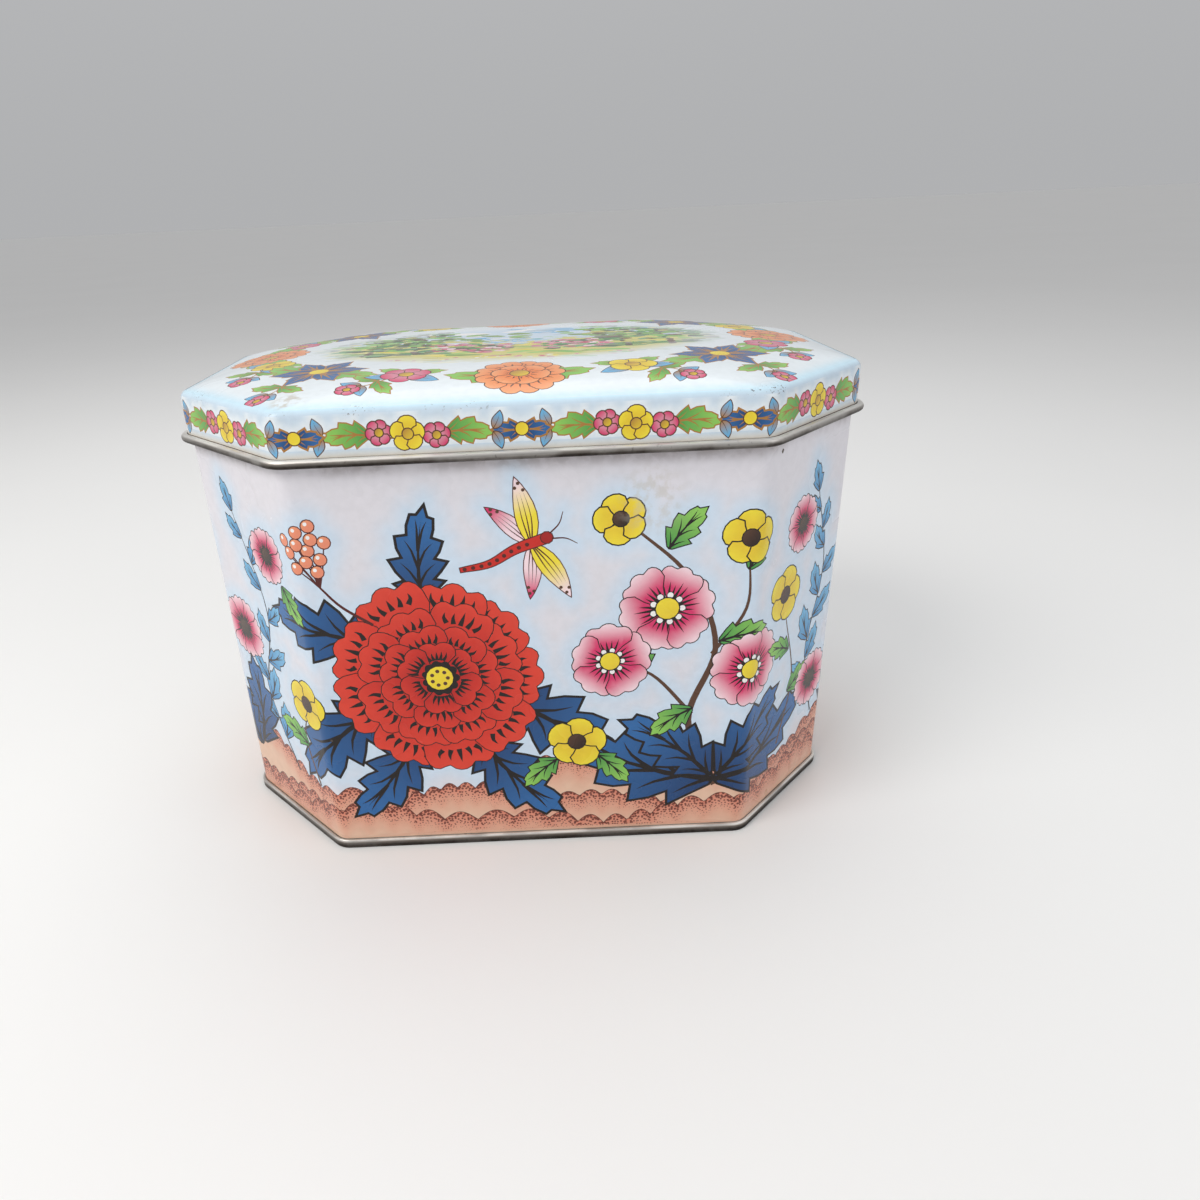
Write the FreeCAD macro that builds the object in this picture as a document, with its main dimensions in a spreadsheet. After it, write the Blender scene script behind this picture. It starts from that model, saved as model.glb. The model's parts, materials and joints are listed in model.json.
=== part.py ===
import FreeCAD, Part
import math
import os
import re
import Sketcher

# A tin box with cut corners and a hinged, domed lid.
# Frame: millimetres, +Z up, front towards -Y, origin in the middle of the standing face.

DOC = FreeCAD.newDocument("tin_box")

# Driving sizes: name, millimetres, meaning.
SIZES = [
    ("body_length", 193.6, "body outside, from end panel to end panel"),
    ("body_depth", 129.6, "body outside, from front panel to back panel"),
    ("corner_cut", 34.0, "length cut off each side at a corner"),
    ("corner_radius", 6.0, "outside radius of the upright bends"),
    ("body_height", 137.8, "top of the rolled upper edge above the table"),
    ("sheet", 0.3, "thickness of the tinplate"),
    ("bend_radius", 0.15, "inside radius of a tight fold"),
    ("seam_gap", 0.06, "room between the folded layers of a seam"),
    ("base_seam_height", 3.0, "height of the double seam round the foot"),
    ("base_recess", 4.0, "underside of the bottom above the table"),
    ("bead_inset", 9.0, "stiffening bead in the bottom, in from the wall"),
    ("bead_width", 5.0, "width of the stiffening bead"),
    ("bead_corner", 12.0, "outside radius of the stiffening bead's corners"),
    ("bead_rise", 0.8, "rise of the stiffening bead"),
    ("lock_seam_width", 4.0, "width of the lock seam in an end panel"),
    ("seam_relief", 1.5, "lock seam stops this far from the edges"),
    ("top_curl_diameter", 2.0, "rolled upper edge of the body"),
    ("lid_clearance", 0.8, "room between body wall and lid skirt"),
    ("seat_gap", 0.4, "room between body edge and lid"),
    ("skirt_depth", 12.6, "lid edge down to the middle of the rolled rim"),
    ("lid_edge_radius", 2.5, "outside radius of the lid's upper edge"),
    ("dome_height", 5.4, "rise of the lid above its edge"),
    ("rim_curl_diameter", 2.4, "rolled rim of the lid"),
    ("wire_fit", 0.02, "room round the hinge wire in the rolled rim"),
    ("wire_end_inset", 5.0, "hinge wire ends this far from the bends"),
    ("running_gap", 0.05, "room round the hinge wire in a lug"),
    ("lug_width", 14.0, "width of a hinge lug"),
    ("lug_inset", 12.0, "lug in from the end of the hinge wire"),
    ("lug_tab", 6.0, "turned-over end of a lug inside the body"),
    ("lug_slit", 0.1, "room between the two legs of a lug"),
    ("slot_clearance", 0.1, "room round a lug in the wall"),
    ("notch_clearance", 0.6, "room round a lug in the rolled rim"),
    ("overrun", 3.0, "how far a cut runs past what it cuts"),
]

# Angles in degrees.
CORNER_ANGLE = 45.0
CURL_TURN = 300.0

# Lid dome: size of each level as a share of the lid, and how far its corners have run together.
DOME_SHARES = [
    (1.0, 0.0), (0.95, 0.12), (0.88, 0.28), (0.78, 0.46), (0.64, 0.62), (0.45, 0.76), (0.2, 0.86)]
DOME_POWER_SHARES = 6

# The lid's edge is this share of the sheet above the underside, so the sloping dome keeps its thickness.
EDGE_SHARE = 0.6

# Lengths and places worked out from the sizes.
PLACES = [
    ("half_length", "body_length / 2"),
    ("half_depth", "body_depth / 2"),
    ("corner_reach", "(half_length + half_depth - corner_cut) / sqrt(2)"),
    ("pitch", "sheet + seam_gap"),
    ("outer_bend", "bend_radius + sheet"),
    ("foot_wall", "base_seam_height + seam_gap"),
    ("flange_low", "sheet + seam_gap"),
    ("flange_inside", "flange_low + sheet"),
    ("flange_top", "base_seam_height - sheet - seam_gap"),
    ("hook_low", "flange_inside + seam_gap"),
    ("chuck_outside", "-(sheet + seam_gap)"),
    ("chuck_inside", "chuck_outside - sheet"),
    ("hook_half", "lock_seam_width / 2"),
    ("lock_low", "base_recess + sheet + bead_rise + seam_relief"),
    ("lock_high", "body_height - top_curl_diameter - seam_relief"),
    ("curl_radius", "top_curl_diameter / 2"),
    ("wall_top", "body_height - curl_radius"),
    ("inner_edge_radius", "lid_edge_radius - sheet"),
    ("edge_shift", "inner_edge_radius - lid_clearance - curl_radius"),
    ("edge_slack", "inner_edge_radius - curl_radius - seat_gap"),
    ("edge_drop", "edge_shift > 0 ? sqrt(edge_slack ^ 2 - edge_shift ^ 2) : edge_slack"),
    ("edge_slope", f"{DOME_POWER_SHARES} * dome_height / (half_length + lid_clearance)"),
    ("edge_rise", "inner_edge_radius * (sqrt(1 + edge_slope ^ 2) - edge_slope)"),
    ("lid_underside", "wall_top - edge_drop + edge_rise"),
    ("lid_edge", f"lid_underside + sheet * {EDGE_SHARE}"),
    ("inner_dome", f"dome_height - sheet * {1 - EDGE_SHARE}"),
    ("rim_height", "lid_edge - skirt_depth"),
    ("rim_radius", "rim_curl_diameter / 2"),
    ("skirt_outside", "lid_clearance + sheet"),
    ("pin_depth", "half_depth + lid_clearance + rim_radius"),
    ("wire_radius", "rim_radius - sheet - wire_fit"),
    ("flat_half", f"half_length - corner_cut - corner_radius * tan({CORNER_ANGLE / 2} deg)"),
    ("wire_half", "flat_half - wire_end_inset"),
    ("lug_middle", "wire_half - lug_inset - lug_width / 2"),
    ("loop_inside", "wire_radius + running_gap"),
    ("loop_outside", "loop_inside + sheet"),
    ("leg_low", "lug_slit / 2"),
    ("leg_high", "leg_low + sheet"),
    ("wall_inside", "half_depth - sheet"),
]

NAMES = {}


def spreadsheet():
    sizes = DOC.addObject("Spreadsheet::Sheet", "sizes")
    for row, (alias, number, meaning) in enumerate(SIZES, 1):
        sizes.set(f"A{row}", meaning)
        sizes.set(f"B{row}", str(number))
        sizes.setAlias(f"B{row}", alias)
        NAMES[alias] = "sizes." + alias
    places = DOC.addObject("Spreadsheet::Sheet", "places")
    for row, (alias, formula) in enumerate(PLACES, 1):
        places.set(f"B{row}", "=" + ex(formula))
        places.setAlias(f"B{row}", alias)
        NAMES[alias] = "places." + alias
    DOC.recompute()
    return sizes


def ex(formula):
    return re.sub(r"[a-z_]+", lambda word: NAMES.get(word.group(), word.group()), formula)


def number(formula):
    result = SHEET.evalExpression(ex(formula))
    return float(getattr(result, "Value", result))


def bind(thing, prop, formula):
    thing.setExpression(prop, ex(formula))


def new_body(label):
    body = DOC.addObject("PartDesign::Body", label)
    body.Label = label
    return body


def new_sketch(body, name, role, shift="0"):
    sketch = body.newObject("Sketcher::SketchObject", name)
    plane = [part for part in body.Origin.OriginFeatures if part.Role == role][0]
    sketch.AttachmentSupport = [(plane, "")]
    sketch.MapMode = "FlatFace"
    bind(sketch, "AttachmentOffset.Base.z", shift)
    return sketch


def measure(sketch, rule, label, formula):
    index = sketch.addConstraint(rule)
    sketch.renameConstraint(index, label)
    bind(sketch, "Constraints." + label, formula)


def octagon(body, name, height, end, side, corner, radius):
    """A closed eight-sided outline with rounded corners, at a height above the table."""
    sketch = new_sketch(body, name, "XY_Plane", height)
    reach = [number(end), number(corner), number(side), number(corner)] * 2
    bend = number(radius)
    half = bend * math.tan(math.radians(CORNER_ANGLE / 2))
    turns = [math.radians(CORNER_ANGLE * step) for step in range(8)]

    def meet(first, second):
        gap = turns[second] - turns[first]
        along = (reach[second] - reach[first] * math.cos(gap)) / math.sin(gap)
        return (reach[first] * math.cos(turns[first]) - along * math.sin(turns[first]),
                reach[first] * math.sin(turns[first]) + along * math.cos(turns[first]))

    corners = [meet(step, (step + 1) % 8) for step in range(8)]
    for step in range(8):
        low = corners[step - 1]
        high = corners[step]
        way = (-math.sin(turns[step]), math.cos(turns[step]))
        start = FreeCAD.Vector(low[0] + way[0] * half, low[1] + way[1] * half, 0)
        stop = FreeCAD.Vector(high[0] - way[0] * half, high[1] - way[1] * half, 0)
        sketch.addGeometry(Part.LineSegment(start, stop), False)
    for step in range(8):
        stop = sketch.Geometry[step].EndPoint
        normal = FreeCAD.Vector(math.cos(turns[step]), math.sin(turns[step]), 0)
        circle = Part.Circle(stop - normal * bend, FreeCAD.Vector(0, 0, 1), bend)
        after = turns[step] + math.radians(CORNER_ANGLE)
        sketch.addGeometry(Part.ArcOfCircle(circle, turns[step], after), False)
    for step in range(8):
        sketch.addConstraint(Sketcher.Constraint("Tangent", step, 2, 8 + step, 1))
        sketch.addConstraint(Sketcher.Constraint("Tangent", 8 + step, 2, (step + 1) % 8, 1))
    for step in (0, 4):
        sketch.addConstraint(Sketcher.Constraint("Vertical", step))
    for step in (2, 6):
        sketch.addConstraint(Sketcher.Constraint("Horizontal", step))
    for step in (1, 3, 5, 7):
        heading = math.atan2(math.cos(turns[step]), -math.sin(turns[step]))
        sketch.addConstraint(Sketcher.Constraint("Angle", step, heading))
    formulas = [end, corner, side, corner] * 2
    for step in range(8):
        rule = Sketcher.Constraint("Distance", -1, 1, step, reach[step])
        measure(sketch, rule, f"reach_{step}", formulas[step])
    measure(sketch, Sketcher.Constraint("Radius", 8, bend), "bend", radius)
    for step in range(9, 16):
        sketch.addConstraint(Sketcher.Constraint("Equal", 8, step))
    return sketch


def outline(body, name, height, offset, radius=None):
    """The outline of the body's wall, moved out by an offset."""
    return octagon(body, name, height, f"half_length + ({offset})", f"half_depth + ({offset})",
                   f"corner_reach + ({offset})", radius or f"corner_radius + ({offset})")


def square_profile(body, name, role, loops, shift="0"):
    """Closed loops of level and upright lines; a corner with a radius is rounded.

    A corner is (across, up, radius); the radius is None at a sharp corner.
    """
    sketch = new_sketch(body, name, role, shift)
    for loop_number, loop in enumerate(loops):
        add_square_loop(sketch, f"loop{loop_number}", loop)
    return sketch


def add_square_loop(sketch, tag, loop):
    count = len(loop)
    points = [(number(across), number(up)) for across, up, radius in loop]
    first = len(sketch.Geometry)
    rounds = {}
    for step in range(count):
        here = points[step]
        there = points[(step + 1) % count]
        length = math.hypot(there[0] - here[0], there[1] - here[1])
        way = ((there[0] - here[0]) / length, (there[1] - here[1]) / length)
        trim_a = number(loop[step][2]) if loop[step][2] else 0
        trim_b = number(loop[(step + 1) % count][2]) if loop[(step + 1) % count][2] else 0
        start = FreeCAD.Vector(here[0] + way[0] * trim_a, here[1] + way[1] * trim_a, 0)
        stop = FreeCAD.Vector(there[0] - way[0] * trim_b, there[1] - way[1] * trim_b, 0)
        sketch.addGeometry(Part.LineSegment(start, stop), False)
    for step in range(count):
        if loop[step][2]:
            before = sketch.Geometry[first + (step - 1) % count].EndPoint
            after = sketch.Geometry[first + step].StartPoint
            corner = FreeCAD.Vector(points[step][0], points[step][1], 0)
            centre = before + after - corner
            radius = number(loop[step][2])
            start = math.atan2(before.y - centre.y, before.x - centre.x)
            stop = math.atan2(after.y - centre.y, after.x - centre.x)
            clockwise = math.sin(stop - start) < 0
            circle = Part.Circle(centre, FreeCAD.Vector(0, 0, 1), radius)
            span = (stop, start) if clockwise else (start, stop)
            rounds[step] = (sketch.addGeometry(Part.ArcOfCircle(circle, *span), False), clockwise)
    for step in range(count):
        line = first + step
        here = loop[step]
        there = loop[(step + 1) % count]
        level = here[1] == there[1]
        sketch.addConstraint(Sketcher.Constraint("Horizontal" if level else "Vertical", line))
        formula = here[1] if level else here[0]
        place = number(formula)
        if formula == "0":
            rule = Sketcher.Constraint("PointOnObject", line, 1, -1 if level else -2)
            sketch.addConstraint(rule)
        else:
            kind = "DistanceY" if level else "DistanceX"
            if place > 0:
                rule = Sketcher.Constraint(kind, -1, 1, line, 1, place)
                measure(sketch, rule, f"{tag}_{step}", formula)
            else:
                rule = Sketcher.Constraint(kind, line, 1, -1, 1, -place)
                measure(sketch, rule, f"{tag}_{step}", f"-({formula})")
    for step in range(count):
        before = first + (step - 1) % count
        after = first + step
        if step in rounds:
            arc, clockwise = rounds[step]
            ends = (2, 1) if clockwise else (1, 2)
            sketch.addConstraint(Sketcher.Constraint("Tangent", before, 2, arc, ends[0]))
            sketch.addConstraint(Sketcher.Constraint("Tangent", arc, ends[1], after, 1))
            rule = Sketcher.Constraint("Radius", arc, number(loop[step][2]))
            measure(sketch, rule, f"{tag}_bend_{step}", loop[step][2])
        else:
            sketch.addConstraint(Sketcher.Constraint("Coincident", before, 2, after, 1))


def curl_profile(body, name, centre, up, radius, start_angle):
    """A rolled edge in section: a band of sheet turned through most of a circle."""
    sketch = new_sketch(body, name, "XZ_Plane")
    middle = FreeCAD.Vector(number(centre), number(up), 0)
    outer = number(radius)
    inner = number(f"{radius} - sheet")
    low = math.radians(start_angle)
    high = math.radians(start_angle + CURL_TURN)
    axis = FreeCAD.Vector(0, 0, 1)
    big = Part.ArcOfCircle(Part.Circle(middle, axis, outer), low, high)
    small = Part.ArcOfCircle(Part.Circle(middle, axis, inner), low, high)
    sketch.addGeometry([big, small], False)
    sketch.addGeometry(Part.LineSegment(big.StartPoint, small.StartPoint), False)
    sketch.addGeometry(Part.LineSegment(big.EndPoint, small.EndPoint), False)
    sketch.addConstraint(Sketcher.Constraint("Coincident", 0, 1, 2, 1))
    sketch.addConstraint(Sketcher.Constraint("Coincident", 1, 1, 2, 2))
    sketch.addConstraint(Sketcher.Constraint("Coincident", 0, 2, 3, 1))
    sketch.addConstraint(Sketcher.Constraint("Coincident", 1, 2, 3, 2))
    sketch.addConstraint(Sketcher.Constraint("Coincident", 0, 3, 1, 3))
    measure(sketch, Sketcher.Constraint("DistanceX", -1, 1, 0, 3, middle.x), "across", centre)
    measure(sketch, Sketcher.Constraint("DistanceY", -1, 1, 0, 3, middle.y), "up", up)
    measure(sketch, Sketcher.Constraint("Radius", 0, outer), "outer", radius)
    measure(sketch, Sketcher.Constraint("Radius", 1, inner), "inner", f"{radius} - sheet")
    sketch.addConstraint(Sketcher.Constraint("Horizontal", 2))
    tip = small.EndPoint - big.EndPoint
    sketch.addConstraint(Sketcher.Constraint("Angle", 3, math.atan2(tip.y, tip.x)))
    return sketch


def pad(body, name, sketch, length):
    feature = body.newObject("PartDesign::Pad", name)
    feature.Profile = sketch
    bind(feature, "Length", length)
    body.Tip = feature
    return feature


def pocket(body, name, sketch, reverse=False):
    feature = body.newObject("PartDesign::Pocket", name)
    feature.Profile = sketch
    feature.Type = "ThroughAll"
    feature.Reversed = reverse
    body.Tip = feature
    return feature


def cut_to_depth(body, name, sketch, length, reverse=False):
    feature = body.newObject("PartDesign::Pocket", name)
    feature.Profile = sketch
    bind(feature, "Length", length)
    feature.Reversed = reverse
    body.Tip = feature
    return feature


def pipe(body, name, profile, spine):
    feature = body.newObject("PartDesign::AdditivePipe", name)
    feature.Profile = profile
    feature.Spine = spine
    feature.Refine = True
    body.Tip = feature
    return feature


def wall(body):
    """The whole wall of the body with its foot flange and rolled upper edge."""
    outside = outline(body, body.Name + "_outside", "foot_wall", "0")
    pad(body, body.Name + "_block", outside, "wall_top - foot_wall")
    inside = outline(body, body.Name + "_inside", "foot_wall", "-sheet")
    pocket(body, body.Name + "_hollow", inside, True)
    flange = square_profile(body, body.Name + "_flange", "XZ_Plane", [[
        ("half_length - sheet", "foot_wall", None),
        ("half_length - sheet", "flange_low", "outer_bend"),
        ("half_length + 2 * pitch", "flange_low", "outer_bend"),
        ("half_length + 2 * pitch", "flange_top", None),
        ("half_length + pitch + seam_gap", "flange_top", None),
        ("half_length + pitch + seam_gap", "flange_inside", "bend_radius"),
        ("half_length", "flange_inside", "bend_radius"),
        ("half_length", "foot_wall", None),
    ]])
    foot = outline(body, body.Name + "_foot_path", "foot_wall", "0")
    pipe(body, body.Name + "_foot", flange, foot)
    curl = curl_profile(body, body.Name + "_curl", "half_length - curl_radius", "wall_top", "curl_radius", 0)
    edge = outline(body, body.Name + "_edge_path", "wall_top", "0")
    pipe(body, body.Name + "_edge", curl, edge)


def box_loop(left, right, low, high):
    return [(left, low, None), (right, low, None), (right, high, None), (left, high, None)]


def both_ends(loop):
    """Loops for the two end panels from one given as (inward, along)."""
    right = [(f"half_length - ({inward})", along, None) for inward, along in loop]
    left = [(f"-half_length + ({inward})", along, None) for inward, along in reversed(loop)]
    return [right, left]


def front_body():
    body = new_body("front_body")
    wall(body)
    away = square_profile(body, "front_away", "XY_Plane", [box_loop(
        "-half_length - overrun", "half_length + overrun", "hook_half", "half_depth + overrun")])
    pocket(body, "front_half", away, True)
    hooks = square_profile(body, "front_hook_section", "XY_Plane", both_ends([
        ("0", "hook_half - 3 * sheet"), ("0", "hook_half"), ("2 * pitch + sheet", "hook_half"),
        ("2 * pitch + sheet", "-hook_half + sheet + seam_gap"),
        ("2 * pitch", "-hook_half + sheet + seam_gap"), ("2 * pitch", "hook_half - sheet"),
        ("sheet", "hook_half - sheet"), ("sheet", "hook_half - 3 * sheet")]), "lock_low")
    pad(body, "front_hooks", hooks, "lock_high - lock_low")
    return body


def rear_body():
    body = new_body("rear_body")
    wall(body)
    away = square_profile(body, "rear_away", "XY_Plane", [box_loop(
        "-half_length - overrun", "half_length + overrun", "-half_depth - overrun", "hook_half + seam_gap")])
    pocket(body, "rear_half", away, True)
    jog = "hook_half + seam_gap"
    hooks = square_profile(body, "rear_hook_section", "XY_Plane", both_ends([
        ("0", f"{jog} + 3 * sheet"), ("0", jog), ("3 * pitch", jog),
        ("3 * pitch", "-hook_half + sheet"), ("pitch + sheet", "-hook_half + sheet"),
        ("pitch + sheet", "hook_half - sheet - seam_gap"),
        ("pitch", "hook_half - sheet - seam_gap"), ("pitch", "-hook_half"),
        ("3 * pitch + sheet", "-hook_half"), ("3 * pitch + sheet", f"{jog} + sheet"),
        ("sheet", f"{jog} + sheet"), ("sheet", f"{jog} + 3 * sheet")]), "lock_low")
    pad(body, "rear_hooks", hooks, "lock_high - lock_low")
    across = "lug_width / 2 + slot_clearance"
    low = "rim_height - leg_high - slot_clearance"
    high = "rim_height + leg_high + slot_clearance"
    slots = square_profile(body, "lug_slot_section", "XZ_Plane", [
        box_loop(f"lug_middle - ({across})", f"lug_middle + {across}", low, high),
        box_loop(f"-lug_middle - ({across})", f"-lug_middle + {across}", low, high)])
    pocket(body, "lug_slots", slots)
    return body


def base():
    body = new_body("base")
    panel = outline(body, "base_panel_outline", "base_recess", "chuck_outside")
    pad(body, "base_panel", panel, "sheet")
    seam = square_profile(body, "base_seam_section", "XZ_Plane", [[
        ("half_length + chuck_inside", "base_recess + sheet", None),
        ("half_length + chuck_inside", "0", "outer_bend"),
        ("half_length + 3 * pitch", "0", "outer_bend"),
        ("half_length + 3 * pitch", "base_seam_height", "outer_bend"),
        ("half_length + seam_gap", "base_seam_height", "outer_bend"),
        ("half_length + seam_gap", "hook_low", None),
        ("half_length + pitch", "hook_low", None),
        ("half_length + pitch", "base_seam_height - sheet", "bend_radius"),
        ("half_length + 2 * pitch + seam_gap", "base_seam_height - sheet", "bend_radius"),
        ("half_length + 2 * pitch + seam_gap", "sheet", "bend_radius"),
        ("half_length + chuck_outside", "sheet", "bend_radius"),
        ("half_length + chuck_outside", "base_recess + sheet", None),
    ]])
    path = outline(body, "base_seam_path", "base_recess", "0")
    pipe(body, "base_seam", seam, path)
    rise = outline(body, "bead_outer", "base_recess + sheet", "-bead_inset", "bead_corner")
    pad(body, "bead_block", rise, "bead_rise")
    under = outline(body, "bead_under_outer", "base_recess", "-bead_inset - sheet", "bead_corner - sheet")
    cut_to_depth(body, "bead_under", under, "bead_rise", True)
    middle = outline(body, "bead_under_inner", "base_recess", "-bead_inset - bead_width + sheet",
                     "bead_corner - bead_width + sheet")
    pad(body, "bead_middle", middle, "bead_rise + sheet")
    top = outline(body, "bead_inner", "base_recess + sheet", "-bead_inset - bead_width",
                  "bead_corner - bead_width")
    cut_to_depth(body, "bead_top", top, "bead_rise + overrun", True)
    return body


def dome_sections(body, tag, edge, offset, rise):
    sections = []
    for step, (share, round_share) in enumerate(DOME_SHARES):
        lift_share = 1 - share ** DOME_POWER_SHARES
        full = f"corner_cut / (sqrt(2) * tan({CORNER_ANGLE / 2} deg))"
        bend = f"(corner_radius + {offset}) * {1 - round_share} + {full} * {round_share}"
        sections.append(octagon(
            body, f"{tag}_{step}", f"{edge} + {rise} * {lift_share}",
            f"(half_length + {offset}) * {share}", f"(half_depth + {offset}) * {share}",
            f"(corner_reach + {offset}) * {share}", f"({bend}) * {share}"))
    return sections


def lid_block(body, tag, low, edge, offset, radius, rise):
    """A domed block with a rounded upper edge."""
    skirt = outline(body, tag + "_skirt", low, offset)
    pad(body, tag + "_block", skirt, f"{edge} - ({low})")
    sections = dome_sections(body, tag + "_dome", edge, offset, rise)
    loft = body.newObject("PartDesign::AdditiveLoft", tag + "_rise")
    loft.Profile = sections[0]
    loft.Sections = sections[1:]
    loft.Refine = True
    body.Tip = loft
    DOC.recompute()
    height = number(edge)
    rim = []
    for index, line in enumerate(loft.Shape.Edges, 1):
        level = all(abs(corner.Z - height) < number("seam_gap") / 2 for corner in line.Vertexes)
        if level and abs(line.CenterOfMass.z - height) < number("seam_gap") / 2:
            rim.append(f"Edge{index}")
    soft = body.newObject("PartDesign::Fillet", tag + "_edge")
    soft.Base = (loft, rim)
    bind(soft, "Radius", radius)
    body.Tip = soft
    return soft


def lid():
    core = new_body("lid_core")
    lid_block(core, "core", "rim_height - overrun", "lid_underside", "lid_clearance", "inner_edge_radius",
              "inner_dome")
    body = new_body("lid")
    lid_block(body, "lid", "rim_height", "lid_edge", "skirt_outside", "lid_edge_radius", "dome_height")
    hollow = body.newObject("PartDesign::Boolean", "lid_hollow")
    hollow.Type = "Cut"
    hollow.Group = [core]
    body.Tip = hollow
    curl = curl_profile(body, "rim_curl_section", "half_length + lid_clearance + rim_radius",
                        "rim_height", "rim_radius", 180)
    path = outline(body, "rim_path", "rim_height", "lid_clearance")
    pipe(body, "rim_curl", curl, path)
    across = "lug_width / 2 + notch_clearance"
    low = "rim_height - rim_radius - overrun"
    high = "rim_height + loop_outside + notch_clearance"
    notches = square_profile(body, "lug_notch_section", "XZ_Plane", [
        box_loop(f"lug_middle - ({across})", f"lug_middle + {across}", low, high),
        box_loop(f"-lug_middle - ({across})", f"-lug_middle + {across}", low, high)])
    pocket(body, "lug_notches", notches)
    return body


def hinge_wire():
    wire = DOC.addObject("Part::Cylinder", "hinge_wire")
    wire.Label = "hinge_wire"
    bind(wire, "Radius", "wire_radius")
    bind(wire, "Height", "2 * wire_half")
    wire.Placement.Rotation = FreeCAD.Rotation(FreeCAD.Vector(0, 1, 0), 90)
    bind(wire, "Placement.Base.x", "-wire_half")
    bind(wire, "Placement.Base.y", "pin_depth")
    bind(wire, "Placement.Base.z", "rim_height")
    return wire


def hinge_lug(label, side):
    body = new_body(label)
    loop = new_sketch(body, label + "_loop_section", "YZ_Plane")
    middle = FreeCAD.Vector(number("pin_depth"), number("rim_height"), 0)
    for step, name in enumerate(("loop_outside", "loop_inside")):
        loop.addGeometry(Part.Circle(middle, FreeCAD.Vector(0, 0, 1), number(name)), False)
        measure(loop, Sketcher.Constraint("Radius", step, number(name)), name, name)
    loop.addConstraint(Sketcher.Constraint("Coincident", 0, 3, 1, 3))
    measure(loop, Sketcher.Constraint("DistanceX", -1, 1, 0, 3, middle.x), "across", "pin_depth")
    measure(loop, Sketcher.Constraint("DistanceY", -1, 1, 0, 3, middle.y), "up", "rim_height")
    ring = pad(body, label + "_loop", loop, "lug_width")
    ring.Midplane = True
    slit = square_profile(body, label + "_slit_section", "YZ_Plane", [box_loop(
        "half_depth", "pin_depth", "rim_height - leg_low", "rim_height + leg_low")])
    gap = pocket(body, label + "_slit", slit)
    gap.Midplane = True
    reach = "pin_depth - loop_inside - sheet / 3"
    tab_out = "wall_inside - seam_gap"
    tab_in = "wall_inside - seam_gap - sheet"
    upper = [(reach, "rim_height + leg_low", None), (reach, "rim_height + leg_high", None),
             (tab_out, "rim_height + leg_high", None), (tab_out, "rim_height + leg_low + lug_tab", None),
             (tab_in, "rim_height + leg_low + lug_tab", None), (tab_in, "rim_height + leg_low", None)]
    lower = [(reach, "rim_height - leg_low", None), (tab_in, "rim_height - leg_low", None),
             (tab_in, "rim_height - leg_low - lug_tab", None),
             (tab_out, "rim_height - leg_low - lug_tab", None),
             (tab_out, "rim_height - leg_high", None), (reach, "rim_height - leg_high", None)]
    legs = square_profile(body, label + "_leg_section", "YZ_Plane", [upper, lower])
    tongues = pad(body, label + "_legs", legs, "lug_width")
    tongues.Midplane = True
    bind(body, "Placement.Base.x", f"{side} * lug_middle")
    return body


SHEET = spreadsheet()
PARTS = [front_body(), rear_body(), base(), lid(), hinge_wire(),
         hinge_lug("hinge_lug_left", -1), hinge_lug("hinge_lug_right", 1)]
DOC.recompute()
for thing in DOC.Objects:
    if "Invalid" in thing.State or "Error" in thing.State:
        raise RuntimeError(f"{thing.Name} failed: {thing.State}")
os.makedirs("parts", exist_ok=True)
for part in PARTS:
    if part.Shape.isNull() or not part.Shape.isValid() or len(part.Shape.Solids) != 1:
        raise RuntimeError(f"{part.Label} has a bad shape")
    part.Shape.exportStep(f"parts/{part.Label}.step")
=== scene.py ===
import json
import math
import random
from typing import NamedTuple

import bmesh
import bpy
import numpy as np
from mathutils import Matrix, Vector, geometry, kdtree
from mathutils.bvhtree import BVHTree


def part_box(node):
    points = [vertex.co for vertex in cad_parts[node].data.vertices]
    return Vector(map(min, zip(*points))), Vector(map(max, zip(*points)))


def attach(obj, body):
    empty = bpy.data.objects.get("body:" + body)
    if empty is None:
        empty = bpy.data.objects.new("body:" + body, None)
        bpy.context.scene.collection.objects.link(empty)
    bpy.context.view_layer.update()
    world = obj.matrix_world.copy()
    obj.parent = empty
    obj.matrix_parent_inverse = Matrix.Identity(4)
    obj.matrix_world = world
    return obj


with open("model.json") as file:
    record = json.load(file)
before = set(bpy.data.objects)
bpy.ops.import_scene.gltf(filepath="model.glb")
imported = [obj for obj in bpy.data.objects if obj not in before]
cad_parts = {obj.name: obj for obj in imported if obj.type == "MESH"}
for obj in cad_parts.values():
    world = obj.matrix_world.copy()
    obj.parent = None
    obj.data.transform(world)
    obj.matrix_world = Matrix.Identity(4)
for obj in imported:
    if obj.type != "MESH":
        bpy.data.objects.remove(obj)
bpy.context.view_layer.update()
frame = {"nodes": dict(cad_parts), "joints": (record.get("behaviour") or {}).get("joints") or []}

bl_info = {
    "name": "Tin Box",
    "version": (1, 0, 0),
    "blender": (4, 5, 0),
    "location": "View3D > Sidebar > Tin Box",
    "description": "Prints and finishes a tinplate box with cut corners and a domed lid",
    "category": "Object",
}

MM = 0.001
PIN = Vector(frame["joints"][0]["pos_m"])
LID_LOW, LID_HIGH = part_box("lid")
BODY_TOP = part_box("front_body")[1].z
SEAM_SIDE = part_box("front_body")[1].y
SEAM_GAP = 0.06 * MM
RIM_RADIUS = PIN.z - LID_LOW.z
BEND_TURN = math.pi / 4

# Notches for the hinge lugs: how far they reach above the pin and to each side of a lug.
NOTCH_RISE = 1.83 * MM
NOTCH_MARGIN = 0.6 * MM

# Spacing of the points that fill the flat prints, and of the rows over the rounded edge, in millimetres.
BODY_PITCH = 2.6
SKIRT_PITCH = 1.2
TOP_PITCH = 2.0
EDGE_PITCH = 0.3

# Share of its map that a print fills, so that it stays off the border.
MAP_SHARE = 0.998

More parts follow.
